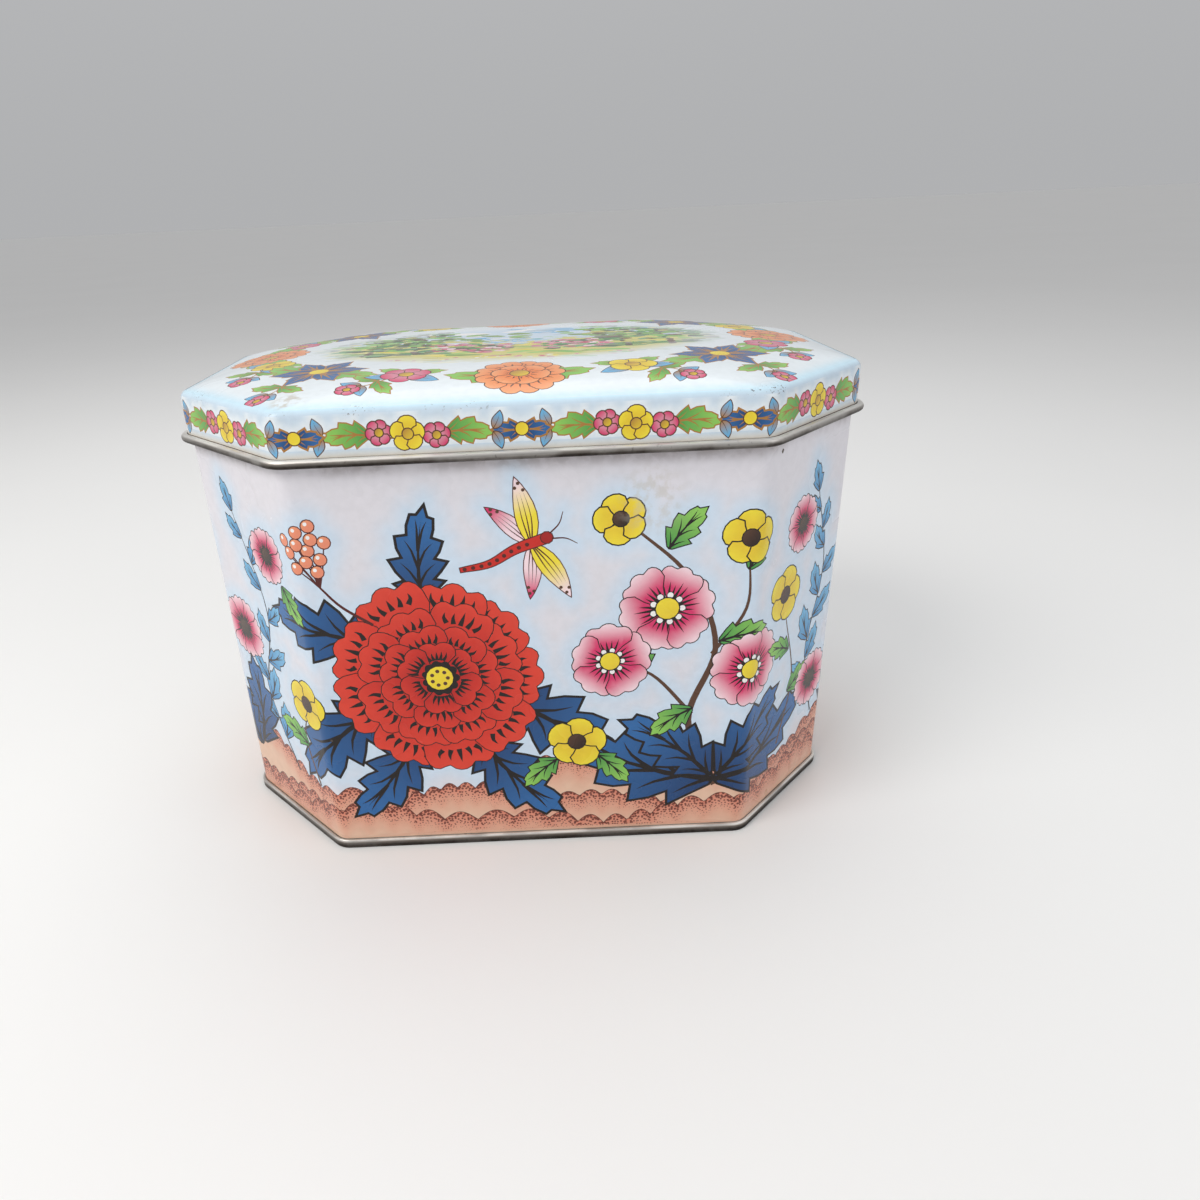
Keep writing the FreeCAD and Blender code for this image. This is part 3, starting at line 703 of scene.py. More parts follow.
def garland(sheet, length):
    """One repeat of the lid's garland: a yellow flower in the middle, and navy leaves where repeats meet."""
    first = len(sheet.shapes)
    middle = 5.6
    half = length / 2
    wave = [(x, middle + 1.1 * math.sin(4 * math.pi * x / length)) for x in np.linspace(-1, length + 1, 49)]
    sheet.lay(ribbon(wave, 0.5, 0.5), "gold")
    for side in (-1, 1):
        back = 90 - 90 * side
        small_leaf(sheet, (half + side * 9.5, middle), 12, back + side * 10, GILT_GREEN, -0.5 * side)
        for lift in (-1, 1):
            drop = (half + side * 21.5, middle + 0.5 * lift)
            leaf(sheet, drop, 4.6, back + side * lift * 52, GILT_SKY, 0.5 * side * lift, 0.28, 0)
        cup(sheet, (half + side * 7.2, middle - 0.6 * side), 3.3, 12, GILT_PINK, GILT_HEART, 6)
        seam = half - side * half
        leaf(sheet, (seam, middle), 7.2, back - side * 8, GILT_NAVY, 0.3 * side, 0.32, 2, 0.3, 0.06)
        button(sheet, (seam, middle), 1.6, GILT_YELLOW)
    cup(sheet, (half, middle), 4.4, 18, GILT_YELLOW, GILT_HEART)
    sheet.tint_near(sheet.outlines(first), 1.6)


def orange_bloom(sheet, at, radius, turn):
    """Two rings of orange petals."""
    petals(sheet, at, radius, turn, GILT_ORANGE, 7, 2, 0.12, 3, (0.62, 0.8), 0.045)
    petals(sheet, at, radius * 0.62, turn + 20, GILT_ORANGE, 6, 1, 0.12, 2, (0.4, 0.66), 0.06)
    button(sheet, at, radius * 0.2, GILT_HEART)


def star_bloom(sheet, at, radius, turn):
    """Six navy leaves round a yellow heart."""
    for petal in range(6):
        leaf(sheet, at, radius, turn + 60 * petal, GILT_NAVY, 0, 0.27, 1, 0.2, 0.06)
    button(sheet, at, radius * 0.2, Look("yellow", "amber", "gold", 0.4))


def spray(sheet, at, turn):
    """A bud on a fine stalk with two pairs of leaves."""
    bud = polar(at, 12.5, turn)
    stem(sheet, [at, polar(at, 6, turn + 10), bud], 0.6, 0.4, "gold")
    for side in (-1, 1):
        small_leaf(sheet, polar(at, 3.5, turn), 9.5, turn + side * 66, GILT_GREEN, side * 0.5, 2)
        leaf(sheet, polar(at, 8.5, turn), 6.2, turn + side * 50, GILT_SKY, side * 0.4, 0.28, 0)
    cup(sheet, bud, 3.2, turn, GILT_PINK, GILT_HEART)


def wreath(sheet, across, deep):
    """Flowers round the picture on the lid: an orange, a yellow, a navy and a pink one in turn."""
    orange, yellow, navy, pink = kinds = range(4)
    count = 16
    for number in range(count):
        angle = 2 * math.pi * number / count
        at = np.array((across * math.cos(angle), deep * math.sin(angle)))
        facing = math.degrees(math.atan2(across * math.sin(angle), deep * math.cos(angle)))
        kind = number % len(kinds)
        if kind != orange:
            lean = 40 * (navy - kind)
            spray(sheet, polar(at, 5 + 6 * (kind == navy), facing + lean), facing + lean)
        for side in (-1, 1):
            if kind in (orange, navy):
                small_leaf(sheet, at, 20, facing + side * 80, GILT_GREEN, side * 0.5)
            else:
                leaf(sheet, at, 11, facing + side * 58, GILT_SKY, side * 0.4, 0.26, 0)
                small_leaf(sheet, at, 11, facing + 180 + side * 50, GILT_GREEN, side * 0.4, 2)
        if kind == orange:
            orange_bloom(sheet, at, 12.5, facing)
        if kind == yellow:
            cup(sheet, at, 6.5, facing, GILT_YELLOW, GILT_HEART)
        if kind == navy:
            star_bloom(sheet, at, 13.5, facing)
        if kind == pink:
            cup(sheet, at, 6.5, facing, GILT_PINK, GILT_HEART, 6)


def garden(sheet, across, deep):
    """A garden picture with a soft edge: sky, trees, a pond, rose bushes and a lawn, in small dabs."""
    hand = sheet.hand
    size = np.array((across, deep))

    def faded(share, start):
        return np.clip((share - start) / (1 - start), 0, 1) ** 1.5

    def wash(low, high, name):
        """A plain ground between two heights, in shares of the picture."""
        edge = [(x, y) for x, y in disc(72) if low <= y <= high]
        sheet.lay(np.array(edge) * size, Look(name, "lid_ground"),
                  lambda points: faded(np.linalg.norm(points / size, axis=1), 0.7))

    def strew(count, left, right, low, high, wide, flat, names):
        """Dabs in a box, which is given in shares of the picture; wide and flat are a dab's half sizes."""
        for _ in range(count):
            spot = np.array((hand.uniform(left, right), hand.uniform(low, high)))
            away = math.hypot(*spot)
            if away > 1:
                continue
            name = hand.choice(names)
            colour = mixed(name, hand.choice(("white", "forest", "brown")), hand.uniform(0, 0.22))
            colour = mixed(colour, "lid_ground", faded(away, 0.78))
            points = [(wide * x * hand.uniform(0.7, 1.2), flat * y * hand.uniform(0.7, 1.2))
                      for x, y in disc(8)]
            spot = spot * size
            sheet.lay(placed(points, spot, hand.uniform(0.6, 1.25), hand.uniform(-25, 25)),
                      Look(colour, mixed(colour, "lid_ground", 0.08)), along(spot, spot + (wide, flat)))

    wash(-1, 0.2, "straw")
    wash(0.1, 1, "halo")
    strew(60, -1, 1, 0.3, 1, 6, 2.2, ("halo", "white", "sky", "halo"))
    strew(130, -1, 1, 0.02, 0.55, 4.0, 2.0, ("leafy", "straw", "green", "halo", "leafy"))
    strew(170, -1, 1, -1, -0.1, 5.5, 1.3, ("straw", "green", "straw", "yellow", "leafy"))
    strew(40, -0.14, 0.2, -0.12, 0.25, 4.0, 0.9, ("sky", "halo", "white", "halo"))
    for side in (-1, 1):
        near, far = sorted((0.34 * side, side))
        strew(40, near, far, -0.5, -0.3, 5.0, 1.2, ("moss", "forest", "leafy"))
        for trunk in (0.5, 0.72):
            for step in range(9):
                middle = side * trunk
                low = 0.1 * step - 0.45
                high = 0.1 * step - 0.42
                strew(1, middle - 0.02, middle + 0.02, low, high, 1.3, 2.0, ("bark", "brown"))
        strew(190, near, far, -0.2, 0.85, 2.8, 1.6, ("moss", "leafy", "forest", "forest", "bark", "green"))
        strew(50, near, far, 0.1, 0.9, 1.8, 1.1, ("green", "straw", "leafy"))
    for bush, lift in ((-0.32, -0.2), (-0.16, -0.32), (0.2, -0.26), (0.34, -0.2)):
        left = bush - 0.12
        right = bush + 0.12
        strew(14, left, right, lift - 0.2, lift + 0.2, 3.0, 1.8, ("moss", "forest"))
        strew(34, left, right, lift - 0.2, lift + 0.24, 1.8, 1.1, ("rose", "pink", "blush", "rose"))
    strew(50, -0.6, 0.6, -0.9, -0.7, 1.0, 0.7, ("pink", "white", "yellow", "rose"))


def chipped(sheet, at, size):
    """A small spot where the print has come off."""
    points = [(px * sheet.hand.uniform(0.4, 1.2), py * sheet.hand.uniform(0.4, 1.2)) for px, py in disc(7)]
    sheet.lay(placed(points, at, size, sheet.hand.uniform(0, 360)), "chip")


# Meshes

def print_mesh(name, spots, triangles, colours, grains):
    """A flat mesh in metres with its ink and stipple at the corners, and its flat place as a UV map."""
    mesh = bpy.data.meshes.new(name)
    mesh.from_pydata([(x * MM, y * MM, 0) for x, y in spots], [], triangles.tolist())
    inks = mesh.attributes.new("ink", "FLOAT_COLOR", "CORNER")
    opaque = np.ones((colours.size // 3, 1))
    inks.data.foreach_set("color", np.concatenate([colours.reshape(-1, 3), opaque], axis=1).ravel())
    grain = mesh.attributes.new("grain", "FLOAT", "CORNER")
    grain.data.foreach_set("value", grains.ravel())
    flat = mesh.uv_layers.new(name="flat")
    flat.data.foreach_set("uv", (spots[triangles.ravel()] * MM).ravel())
    mesh.update()
    return mesh


def new_object(name, mesh):
    thing = bpy.data.objects.new(name, mesh)
    bpy.context.scene.collection.objects.link(thing)
    return thing


def smooth_normals(mesh):
    """Shades the mesh by the normals that were worked out for its points."""
    values = np.zeros(len(mesh.vertices) * 3, np.float32)
    mesh.attributes["outward"].data.foreach_get("vector", values)
    mesh.attributes.remove(mesh.attributes["outward"])
    mesh.shade_smooth()
    mesh.normals_split_custom_set_from_vertices(values.reshape(-1, 3).tolist())


def bake_map(mesh, place):
    """The UV map for baking, from each corner's flat place and its triangle's middle."""
    count = len(mesh.loops)
    flat = np.zeros(count * 2, np.float32)
    mesh.uv_layers["flat"].data.foreach_get("uv", flat)
    corners = flat.reshape(-1, 3, 2)
    middles = np.repeat(corners.mean(axis=1)[:, None, :], 3, axis=1).reshape(-1, 2)
    layer = mesh.uv_layers.new(name="OFBake")
    layer.data.foreach_set("uv", np.asarray(place(corners.reshape(-1, 2), middles), np.float32).ravel())


class Wire:
    """A socket of a node tree; sums written with it add their nodes."""

    def __init__(self, tree, socket=None):
        self.tree = tree
        self.socket = socket

    def node(self, kind, settings=None, inputs=None, output=0):
        """Adds a node, its settings first, then its input values or links, and gives one of its outputs."""
        made = self.tree.nodes.new(kind)
        for name, value in (settings or {}).items():
            setattr(made, name, value)
        for key, value in (inputs or {}).items():
            if isinstance(value, Wire):
                self.tree.links.new(value.socket, made.inputs[key])
            else:
                made.inputs[key].default_value = value
        return Wire(self.tree, made.outputs[output] if len(made.outputs) else None)

    def other(self, name):
        """Another output of the same node."""
        return Wire(self.tree, self.socket.node.outputs[name])

    def maths(self, operation, first, second=0.0, third=0.0):
        return self.node("ShaderNodeMath", {"operation": operation}, {0: first, 1: second, 2: third})

    def vector(self, operation, first, second=(0, 0, 0), output=0):
        return self.node("ShaderNodeVectorMath", {"operation": operation}, {0: first, 1: second}, output)

    def __add__(self, value):
        return self.maths("ADD", self, value)

    def __sub__(self, value):
        return self.maths("SUBTRACT", self, value)

    def __rsub__(self, value):
        return self.maths("SUBTRACT", value, self)

    def __mul__(self, value):
        return self.maths("MULTIPLY", self, value)

    def __truediv__(self, value):
        return self.maths("DIVIDE", self, value)

    __radd__ = __add__
    __rmul__ = __mul__

    def noise(self, where, scale, detail):
        return self.node("ShaderNodeTexNoise", {},
                         {"Vector": where, "Scale": scale, "Detail": detail, "Roughness": 0.55})

    def object_place(self):
        return self.node("ShaderNodeTexCoord", output="Object")

    def height_of(self, where):
        return self.node("ShaderNodeSeparateXYZ", {}, {"Vector": where}, "Z")

    def scaled(self, vector, by):
        return self.node("ShaderNodeVectorMath", {"operation": "SCALE"}, {0: vector, "Scale": by})

    def between(self, low, high):
        """0 below low, 1 above high, and smooth in between."""
        return self.node("ShaderNodeMapRange", {"interpolation_type": "SMOOTHSTEP"},
                         {"Value": self, "From Min": low, "From Max": high})

    def mixture(self, first, second, share, mode="MIX"):
        """A colour run into another."""
        made = self.node("ShaderNodeMix", {"data_type": "RGBA", "blend_type": mode}, output=2)
        factor, first_colour, second_colour = (made.socket.node.inputs[index] for index in (0, 6, 7))
        for socket, value in ((factor, share), (first_colour, first), (second_colour, second)):
            if isinstance(value, Wire):
                self.tree.links.new(value.socket, socket)
            else:
                socket.default_value = value if socket == factor else (*value, 1.0)
        return made


WRAP_LENGTHS = (
    "Repeat Length", "Start", "End Reach", "Side Reach", "Corner Cut", "Bend Radius", "Foot", "Height",
    "Edge Height", "Edge Radius", "Dome Pull")
WRAP_INPUTS = [("Repeats", "Int"), *((name, "Float") for name in WRAP_LENGTHS), ("Finish", "Material")]


def wrap_tree():
    """Repeats a flat sheet along its length, wraps it round the wall and over the rounded edge."""
    tree = bpy.data.node_groups.new("wrap_sheet", "GeometryNodeTree")
    tree.interface.new_socket("Sheet", in_out="INPUT", socket_type="NodeSocketGeometry")
    for name, kind in WRAP_INPUTS:
        tree.interface.new_socket(name, in_out="INPUT", socket_type="NodeSocket" + kind)
    tree.interface.new_socket("Sheet", in_out="OUTPUT", socket_type="NodeSocketGeometry")
    start = Wire(tree).node("NodeGroupInput")
    need = {name: start.other(name) for name, kind in WRAP_INPUTS}

    offset = start.node("ShaderNodeCombineXYZ", {}, {"X": need["Repeat Length"]})
    line = start.node("GeometryNodeMeshLine", {}, {"Count": need["Repeats"], "Offset": offset})
    copies = start.node("GeometryNodeInstanceOnPoints", {}, {"Points": line, "Instance": start})
    joined = start.node("GeometryNodeRealizeInstances", {}, {"Geometry": copies})

    box = start.node("GeometryNodeCurvePrimitiveQuadrilateral", {},
                     {"Width": 2 * need["End Reach"], "Height": 2 * need["Side Reach"]})
    eight = start.node("GeometryNodeFilletCurve", {"mode": "POLY"},
                       {"Curve": box, "Count": 1, "Radius": need["Corner Cut"]})
    path = start.node("GeometryNodeFilletCurve", {"mode": "POLY"},
                      {"Curve": eight, "Count": 24, "Radius": need["Bend Radius"]})
    round_length = start.node("GeometryNodeCurveLength", {}, {"Curve": path})
    flat = start.node("ShaderNodeSeparateXYZ", {}, {"Vector": start.node("GeometryNodeInputPosition")})
    place = flat + need["Start"]

    def spot(shift):
        length = start.maths("FLOORED_MODULO", place + shift, round_length)
        return start.node("GeometryNodeSampleCurve", {"mode": "LENGTH"},
                          {"Curves": path, "Length": length}, "Position")

    here = spot(0.0)
    feel = 0.2 * MM
    heading = start.vector("NORMALIZE", start.vector("SUBTRACT", spot(feel), spot(-feel)))
    out = start.vector("CROSS_PRODUCT", heading, (0, 0, 1))
    support = start.vector("DOT_PRODUCT", here, out, "Value")
    slope = start.maths("ARCTANGENT", need["Dome Pull"] / support)
    radius = need["Edge Radius"]
    tangent = radius * start.maths("TANGENT", math.pi / 4 - slope / 2)
    straight = need["Edge Height"] - tangent - need["Foot"]
    height = flat.other("Y")
    turn = math.pi / 2 - slope
    roll = turn * start.maths("MAXIMUM", height - straight, 0.0) / (need["Height"] - straight)
    back = radius * (1 - start.maths("COSINE", roll))
    up = start.maths("MINIMUM", height, straight) + radius * start.maths("SINE", roll) + need["Foot"]
    inwards = start.scaled(out, -1 * back)
    lift = start.node("ShaderNodeCombineXYZ", {}, {"Z": up})
    new_place = start.vector("ADD", start.vector("ADD", here, inwards), lift)
    level = start.scaled(out, start.maths("COSINE", roll))
    upright = start.node("ShaderNodeCombineXYZ", {}, {"Z": start.maths("SINE", roll)})
    outward = start.vector("ADD", level, upright)

    kept = start.node("GeometryNodeStoreNamedAttribute", {"data_type": "FLOAT_VECTOR", "domain": "POINT"},
                      {"Geometry": joined, "Name": "outward", "Value": outward})
    moved = start.node("GeometryNodeSetPosition", {}, {"Geometry": kept, "Position": new_place})
    whole = start.node("GeometryNodeRealizeInstances", {}, {"Geometry": moved})
    finished = start.node("GeometryNodeSetMaterial", {}, {"Geometry": whole, "Material": need["Finish"]})
    start.node("NodeGroupOutput", {}, {"Sheet": finished})
    return tree


def wrapped(name, mesh, wall, values):
    """A piece made of a flat print mesh wrapped round a wall."""
    thing = new_object(name, mesh)
    modifier = thing.modifiers.new("wrap", "NODES")
    tree = bpy.data.node_groups.get("wrap_sheet") or wrap_tree()
    modifier.node_group = tree
    values = {"End Reach": wall.end, "Side Reach": wall.side, "Corner Cut": wall.cut,
              "Bend Radius": wall.radius, "Finish": printed_tin(), **values}
    for item in tree.interface.items_tree:
        if item.in_out == "INPUT" and item.name in values:
            modifier[item.identifier] = values[item.name]
    graph = bpy.context.evaluated_depsgraph_get()
    graph.update()
    made = bpy.data.meshes.new_from_object(
        thing.evaluated_get(graph), preserve_all_data_layers=True, depsgraph=graph)
    thing.modifiers.remove(modifier)
    thing.data = made
    made.name = name
    return thing


def finish_piece(thing, body):
    """Puts a finished print on its body."""
    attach(thing, body)


# Finishes

def new_finish(name):
    """A new material with its first wire and its shader, or the material alone where it is made already."""
    material = bpy.data.materials.get(name)
    if material:
        return material, None, None
    material = bpy.data.materials.new(name)
    material.use_nodes = True
    tree = material.node_tree
    tree.nodes.clear()
    shader = tree.nodes.new("ShaderNodeBsdfPrincipled")
    end = tree.nodes.new("ShaderNodeOutputMaterial")
    tree.links.new(shader.outputs[0], end.inputs[0])
    return material, Wire(tree), shader


def feed(wire, shader, **sockets):
    """Links or sets the shader's sockets; an underscore in a name stands for a space."""
    for name, value in sockets.items():
        socket = shader.inputs[name.replace("_", " ")]
        if isinstance(value, Wire):
            wire.tree.links.new(value.socket, socket)
        else:
            socket.default_value = value


def printed_tin():
    """Printed and varnished tinplate: ink from the mesh, stipple dots, wear, dirt with a painted shadow under
    the rim, a slightly wavy gloss.
    """
    material, start, shader = new_finish("printed_tin_finish")
    if shader is None:
        return material
    colour = start.node("ShaderNodeVertexColor", {"layer_name": "ink"})
    grain = start.node("ShaderNodeAttribute", {"attribute_name": "grain"}, output="Fac")
    flat = start.node("ShaderNodeUVMap", {"uv_map": "flat"})
    where = start.object_place()
    height = start.height_of(where)
    fine = start.noise(where, 420.0, 4.0)
    speck = start.noise(where, 1500.0, 2.0)
    cloud = start.noise(where, 34.0, 3.0)
    wave = start.noise(where, 22.0, 2.0)

    dots = start.node("ShaderNodeTexVoronoi", {"voronoi_dimensions": "2D"},
                      {"Vector": flat, "Scale": 1050.0, "Randomness": 0.85}, "Distance")
    stipple = (1 - (dots - 0.52 * grain).between(-0.06, 0.02)) * grain.between(0.02, 0.12)
    spotted = start.mixture(colour, ink("maroon"), 0.85 * stipple)

    smudged = spotted
    for spot, size, strength in SMUDGES:
        away = start.vector("DISTANCE", where, spot, "Value")
        share = strength * (1 - away.between(0.3 * size, size)) * fine.between(0.42, 0.62)
        smudged = start.mixture(smudged, ink("stain"), share)
    along_edge = 1 - start.maths("ABSOLUTE", height - lid_edge()).between(0.4 * MM, 1.4 * MM)
    chips = along_edge * cloud.between(0.48, 0.62) * speck.between(0.62, 0.66)
    # Painted shadow under the lid's rim, mixed with patchy dirt: the wall just below the rim is darkened with
    # a brown ink.
    rim = LID_LOW.z
    under_rim = height.between(rim - 4.5 * MM, rim) * height.between(rim + 1.0 * MM, rim)
    shadow_and_dirt = (0.1 + 0.4 * cloud.between(0.38, 0.6)) * (0.7 + 0.3 * fine.between(0.4, 0.6))
    with_shadow_and_dirt = start.mixture(smudged, ink("grime"), under_rim * shadow_and_dirt)
    worn = start.mixture(with_shadow_and_dirt, ink("chip"), chips)

    shade = 1.0 - 0.05 * fine.between(0.3, 0.75) - 0.03 * cloud.between(0.35, 0.7)
    grey = start.node("ShaderNodeCombineColor", {}, {0: shade, 1: shade, 2: shade})
    bump = start.node("ShaderNodeBump", {}, {"Strength": 0.35, "Distance": 0.4 * MM, "Height": wave})
    feed(start, shader, Base_Color=start.mixture(worn, grey, 1.0, "MULTIPLY"),
         Roughness=0.2 + 0.1 * cloud.between(0.3, 0.7) + 0.25 * chips, Normal=bump,
         Coat_Weight=0.2, Coat_Roughness=0.08, Specular_IOR_Level=0.25)
    return material


def tinplate(name, tint, smooth, rough, edge=None):
    """Bare tinplate with fine rolling lines, dull patches and dark specks.

    An edge between two heights is dulled by handling, rubbed bright with a painted highlight above, and
    tarnished with painted shade below.
    """
    material, start, shader = new_finish(name)
    tint = np.array(tint)
    where = start.object_place()
    stretched = start.node("ShaderNodeMapping", {}, {"Vector": where, "Scale": (40.0, 40.0, 900.0)})
    lines = start.noise(stretched, 1.0, 4.0)
    patch = start.noise(where, 60.0, 5.0)
    speck = start.noise(where, 700.0, 3.0)
    colour = start.mixture(tint, tint * 0.6, 0.4 * patch.between(0.5, 0.75))
    colour = start.mixture(colour, tint * 0.3, 0.8 * speck.between(0.62, 0.74))
    roughness = smooth + (rough - smooth) * patch.between(0.35, 0.7) + 0.08 * lines
    uneven = lines + 0.6 * speck
    metal = 1.0
    if edge is not None:
        low, high = edge
        height = start.height_of(where)
        within = height.between(high + 0.2 * MM, high)
        share = (height - low) / (high - low)
        # Painted shade with tarnish towards the bottom of the edge, and a painted highlight with rub towards
        # its top, where less metal makes it read white.
        under = within * share.between(0.8, 0.3)
        above = within * share.between(0.66, 0.9) * (0.5 + 0.45 * patch.between(0.38, 0.6))
        colour = start.mixture(colour, ink("worn_rim"), within * (0.3 + 0.45 * patch.between(0.4, 0.6)))
        colour = start.mixture(colour, ink("tarnish"), under * (0.75 + 0.25 * patch.between(0.3, 0.6)))
        colour = start.mixture(colour, ink("rubbed"), above)
        roughness = roughness + 0.15 * under
        metal = 1 - 0.4 * under * speck.between(0.3, 0.6) - 0.6 * above
        uneven = uneven + 2.5 * within * start.noise(where, 150.0, 2.0)
    bump = start.node("ShaderNodeBump", {}, {"Strength": 0.25, "Distance": 0.1 * MM, "Height": uneven})
    feed(start, shader, Base_Color=colour, Roughness=roughness, Normal=bump, Metallic=metal)
    return material


# The lid's dome

def octagon_gap(x, y, end, side, corner, radius):
    """How far points in the first quarter lie outside a rounded eight-sided outline."""
    end = end - radius
    side = side - radius
    corner = corner - radius
    diagonal = (x + y) / math.sqrt(2) - corner
    flat = np.maximum(np.maximum(x - end, y - side), diagonal)
    low = np.stack([end, corner * math.sqrt(2) - end], axis=-1)
    high = np.stack([corner * math.sqrt(2) - side, side], axis=-1)
    to_low = np.hypot(x - low[..., 0], y - low[..., 1])
    to_high = np.hypot(x - high[..., 0], y - high[..., 1])
    across = (x - y) / math.sqrt(2)
    across_low = (low[..., 0] - low[..., 1]) / math.sqrt(2)
    across_high = (high[..., 0] - high[..., 1]) / math.sqrt(2)
    by_low = (across > across_low) & (y > low[..., 1])
    by_high = (across < across_high) & (x > high[..., 0])
    outside = np.where(by_low, to_low, np.where(by_high, to_high, flat))
    return np.where(flat > 0, outside, flat) - radius


def dome_height(points, wall):
    """Height of the lid's top at level points, above its edge."""
    rise = bpy.context.scene.tin_box_sizes.dome_rise
    x = np.abs(points[:, 0])
    y = np.abs(points[:, 1])
    full = wall.cut / (math.sqrt(2) * math.tan(BEND_TURN / 2))
    levels = [share for share, mix in DOME_SHARES]
    mixes = [mix for share, mix in DOME_SHARES]
    halvings = 40
    low = np.full(len(points), 1e-3)
    high = np.full(len(points), 1.2)
    for _ in range(halvings):
        share = (low + high) / 2
        mix = np.interp(share, levels, mixes)
        radius = (wall.radius * (1 - mix) + full * mix) * share
        outside = octagon_gap(x, y, wall.end * share, wall.side * share, wall.corner * share, radius) > 0
        low = np.where(outside, share, low)
        high = np.where(outside, high, share)
    return rise * (1 - share ** DOME_POWER)


def dome_normals(points, wall):
    """Outward directions of the lid's top at level points."""
    feel = 0.4 * MM

    def fall(way):
        step = feel * np.array(way)
        return (dome_height(points - step, wall) - dome_height(points + step, wall)) / (2 * feel)
    normals = np.stack([fall((1, 0)), fall((0, 1)), np.ones(len(points))], axis=1)
    return normals / np.linalg.norm(normals, axis=1)[:, None]


def lid_top_outline(wall):
    """The outline of the lid's top where its rounded edge begins, in millimetres."""
    sizes = bpy.context.scene.tin_box_sizes
    trim = wall.radius * math.tan(BEND_TURN / 2)
    steps = 8
    quarter = []
    low_corner = (wall.end, wall.side - wall.cut)
    high_corner = (wall.end - wall.cut, wall.side)
    for corner, turn in ((low_corner, 0.0), (high_corner, BEND_TURN)):
        start = np.add(corner, (trim * math.sin(turn), -trim * math.cos(turn)))
        centre = start - wall.radius * np.array((math.cos(turn), math.sin(turn)))
        for step in range(steps + 1):
            angle = turn + BEND_TURN * step / steps
            out = np.array((math.cos(angle), math.sin(angle)))
            spot = centre + wall.radius * out
            slope = math.atan(DOME_POWER * sizes.dome_rise / (spot @ out))
            quarter.append(spot - out * (sizes.edge_radius + sizes.coat) * (1 - math.sin(slope)))
    quarter = np.array(quarter)
    left = quarter[::-1] * (-1, 1)
    return np.concatenate([quarter, left, -quarter, -left]) / MM


def near_lug(face, low, high):
    """Whether a face lies at the back about a hinge lug."""
    spot = face.calc_center_median()
    around = 4 * MM
    return spot.y > 0 and low.x - around < spot.x < high.x + around


# Operators, one for each piece or group of pieces

class TINBOX_OT_body_print(bpy.types.Operator):
    """Prints the two halves of the body"""
    bl_idname = "tinbox.body_print"
    bl_label = "Body print"

    def execute(self, context):
        sizes = context.scene.tin_box_sizes
        wall = body_wall()
        foot = sizes.foot_height
        below_curl = 1.0 * MM
        top = BODY_TOP - below_curl
        halves = [("print_front", 0, wall.quarter + SEAM_SIDE),
                  ("print_rear", 2, wall.quarter - SEAM_SIDE - SEAM_GAP)]
        for name, quarters, half in halves:
            span = half / MM
            low = foot / MM
            high = top / MM
            sheet = Sheet([(-span, low), (span, low), (span, high), (-span, high)], "ground", "halo")
            body_print(sheet, span, low)
            if name == "print_front":
                chipped(sheet, (70, 121), 0.9)
                chipped(sheet, (-61, 40), 0.5)
            cuts = []
            for start, end in wall.bends():
                steps = 8
                for step in range(-1, steps + 2):
                    cut = (start + (end - start) * step / steps) / MM
                    cuts += [cut, -cut]
            mesh = print_mesh(name, *sheet.pressed(BODY_PITCH, cuts))
            start = -wall.end_flat - wall.quarter + quarters * wall.quarter
            thing = wrapped(name, mesh, wall, {
                "Repeats": 1, "Start": start, "Height": top,
                "Edge Height": 2 * top, "Edge Radius": sizes.coat})
            self.fit_map(thing.data, wall, half, foot, top)
            smooth_normals(thing.data)
            finish_piece(thing, "box")
        return {"FINISHED"}

    @staticmethod
    def fit_map(mesh, wall, half, foot, top):
        """Front and cut corners below, the two half ends lying on their sides above."""
        edge = wall.bends()[1][0]
        width = 2 * edge
        tall = top - foot
        end_width = half - edge

        def place(corners, middles):
            end = np.abs(middles[:, 0]) > edge
            right = middles[:, 0] > 0
            main = np.stack([corners[:, 0] + edge, corners[:, 1] - foot], axis=1)
            shift = np.where(right, tall * 1.02, tall * 1.04 + end_width)
            lying = np.stack([corners[:, 1] - foot, np.abs(corners[:, 0]) - edge + shift], axis=1)
            return np.where(end[:, None], lying, main) / width * MAP_SHARE + (1 - MAP_SHARE) / 2
        bake_map(mesh, place)


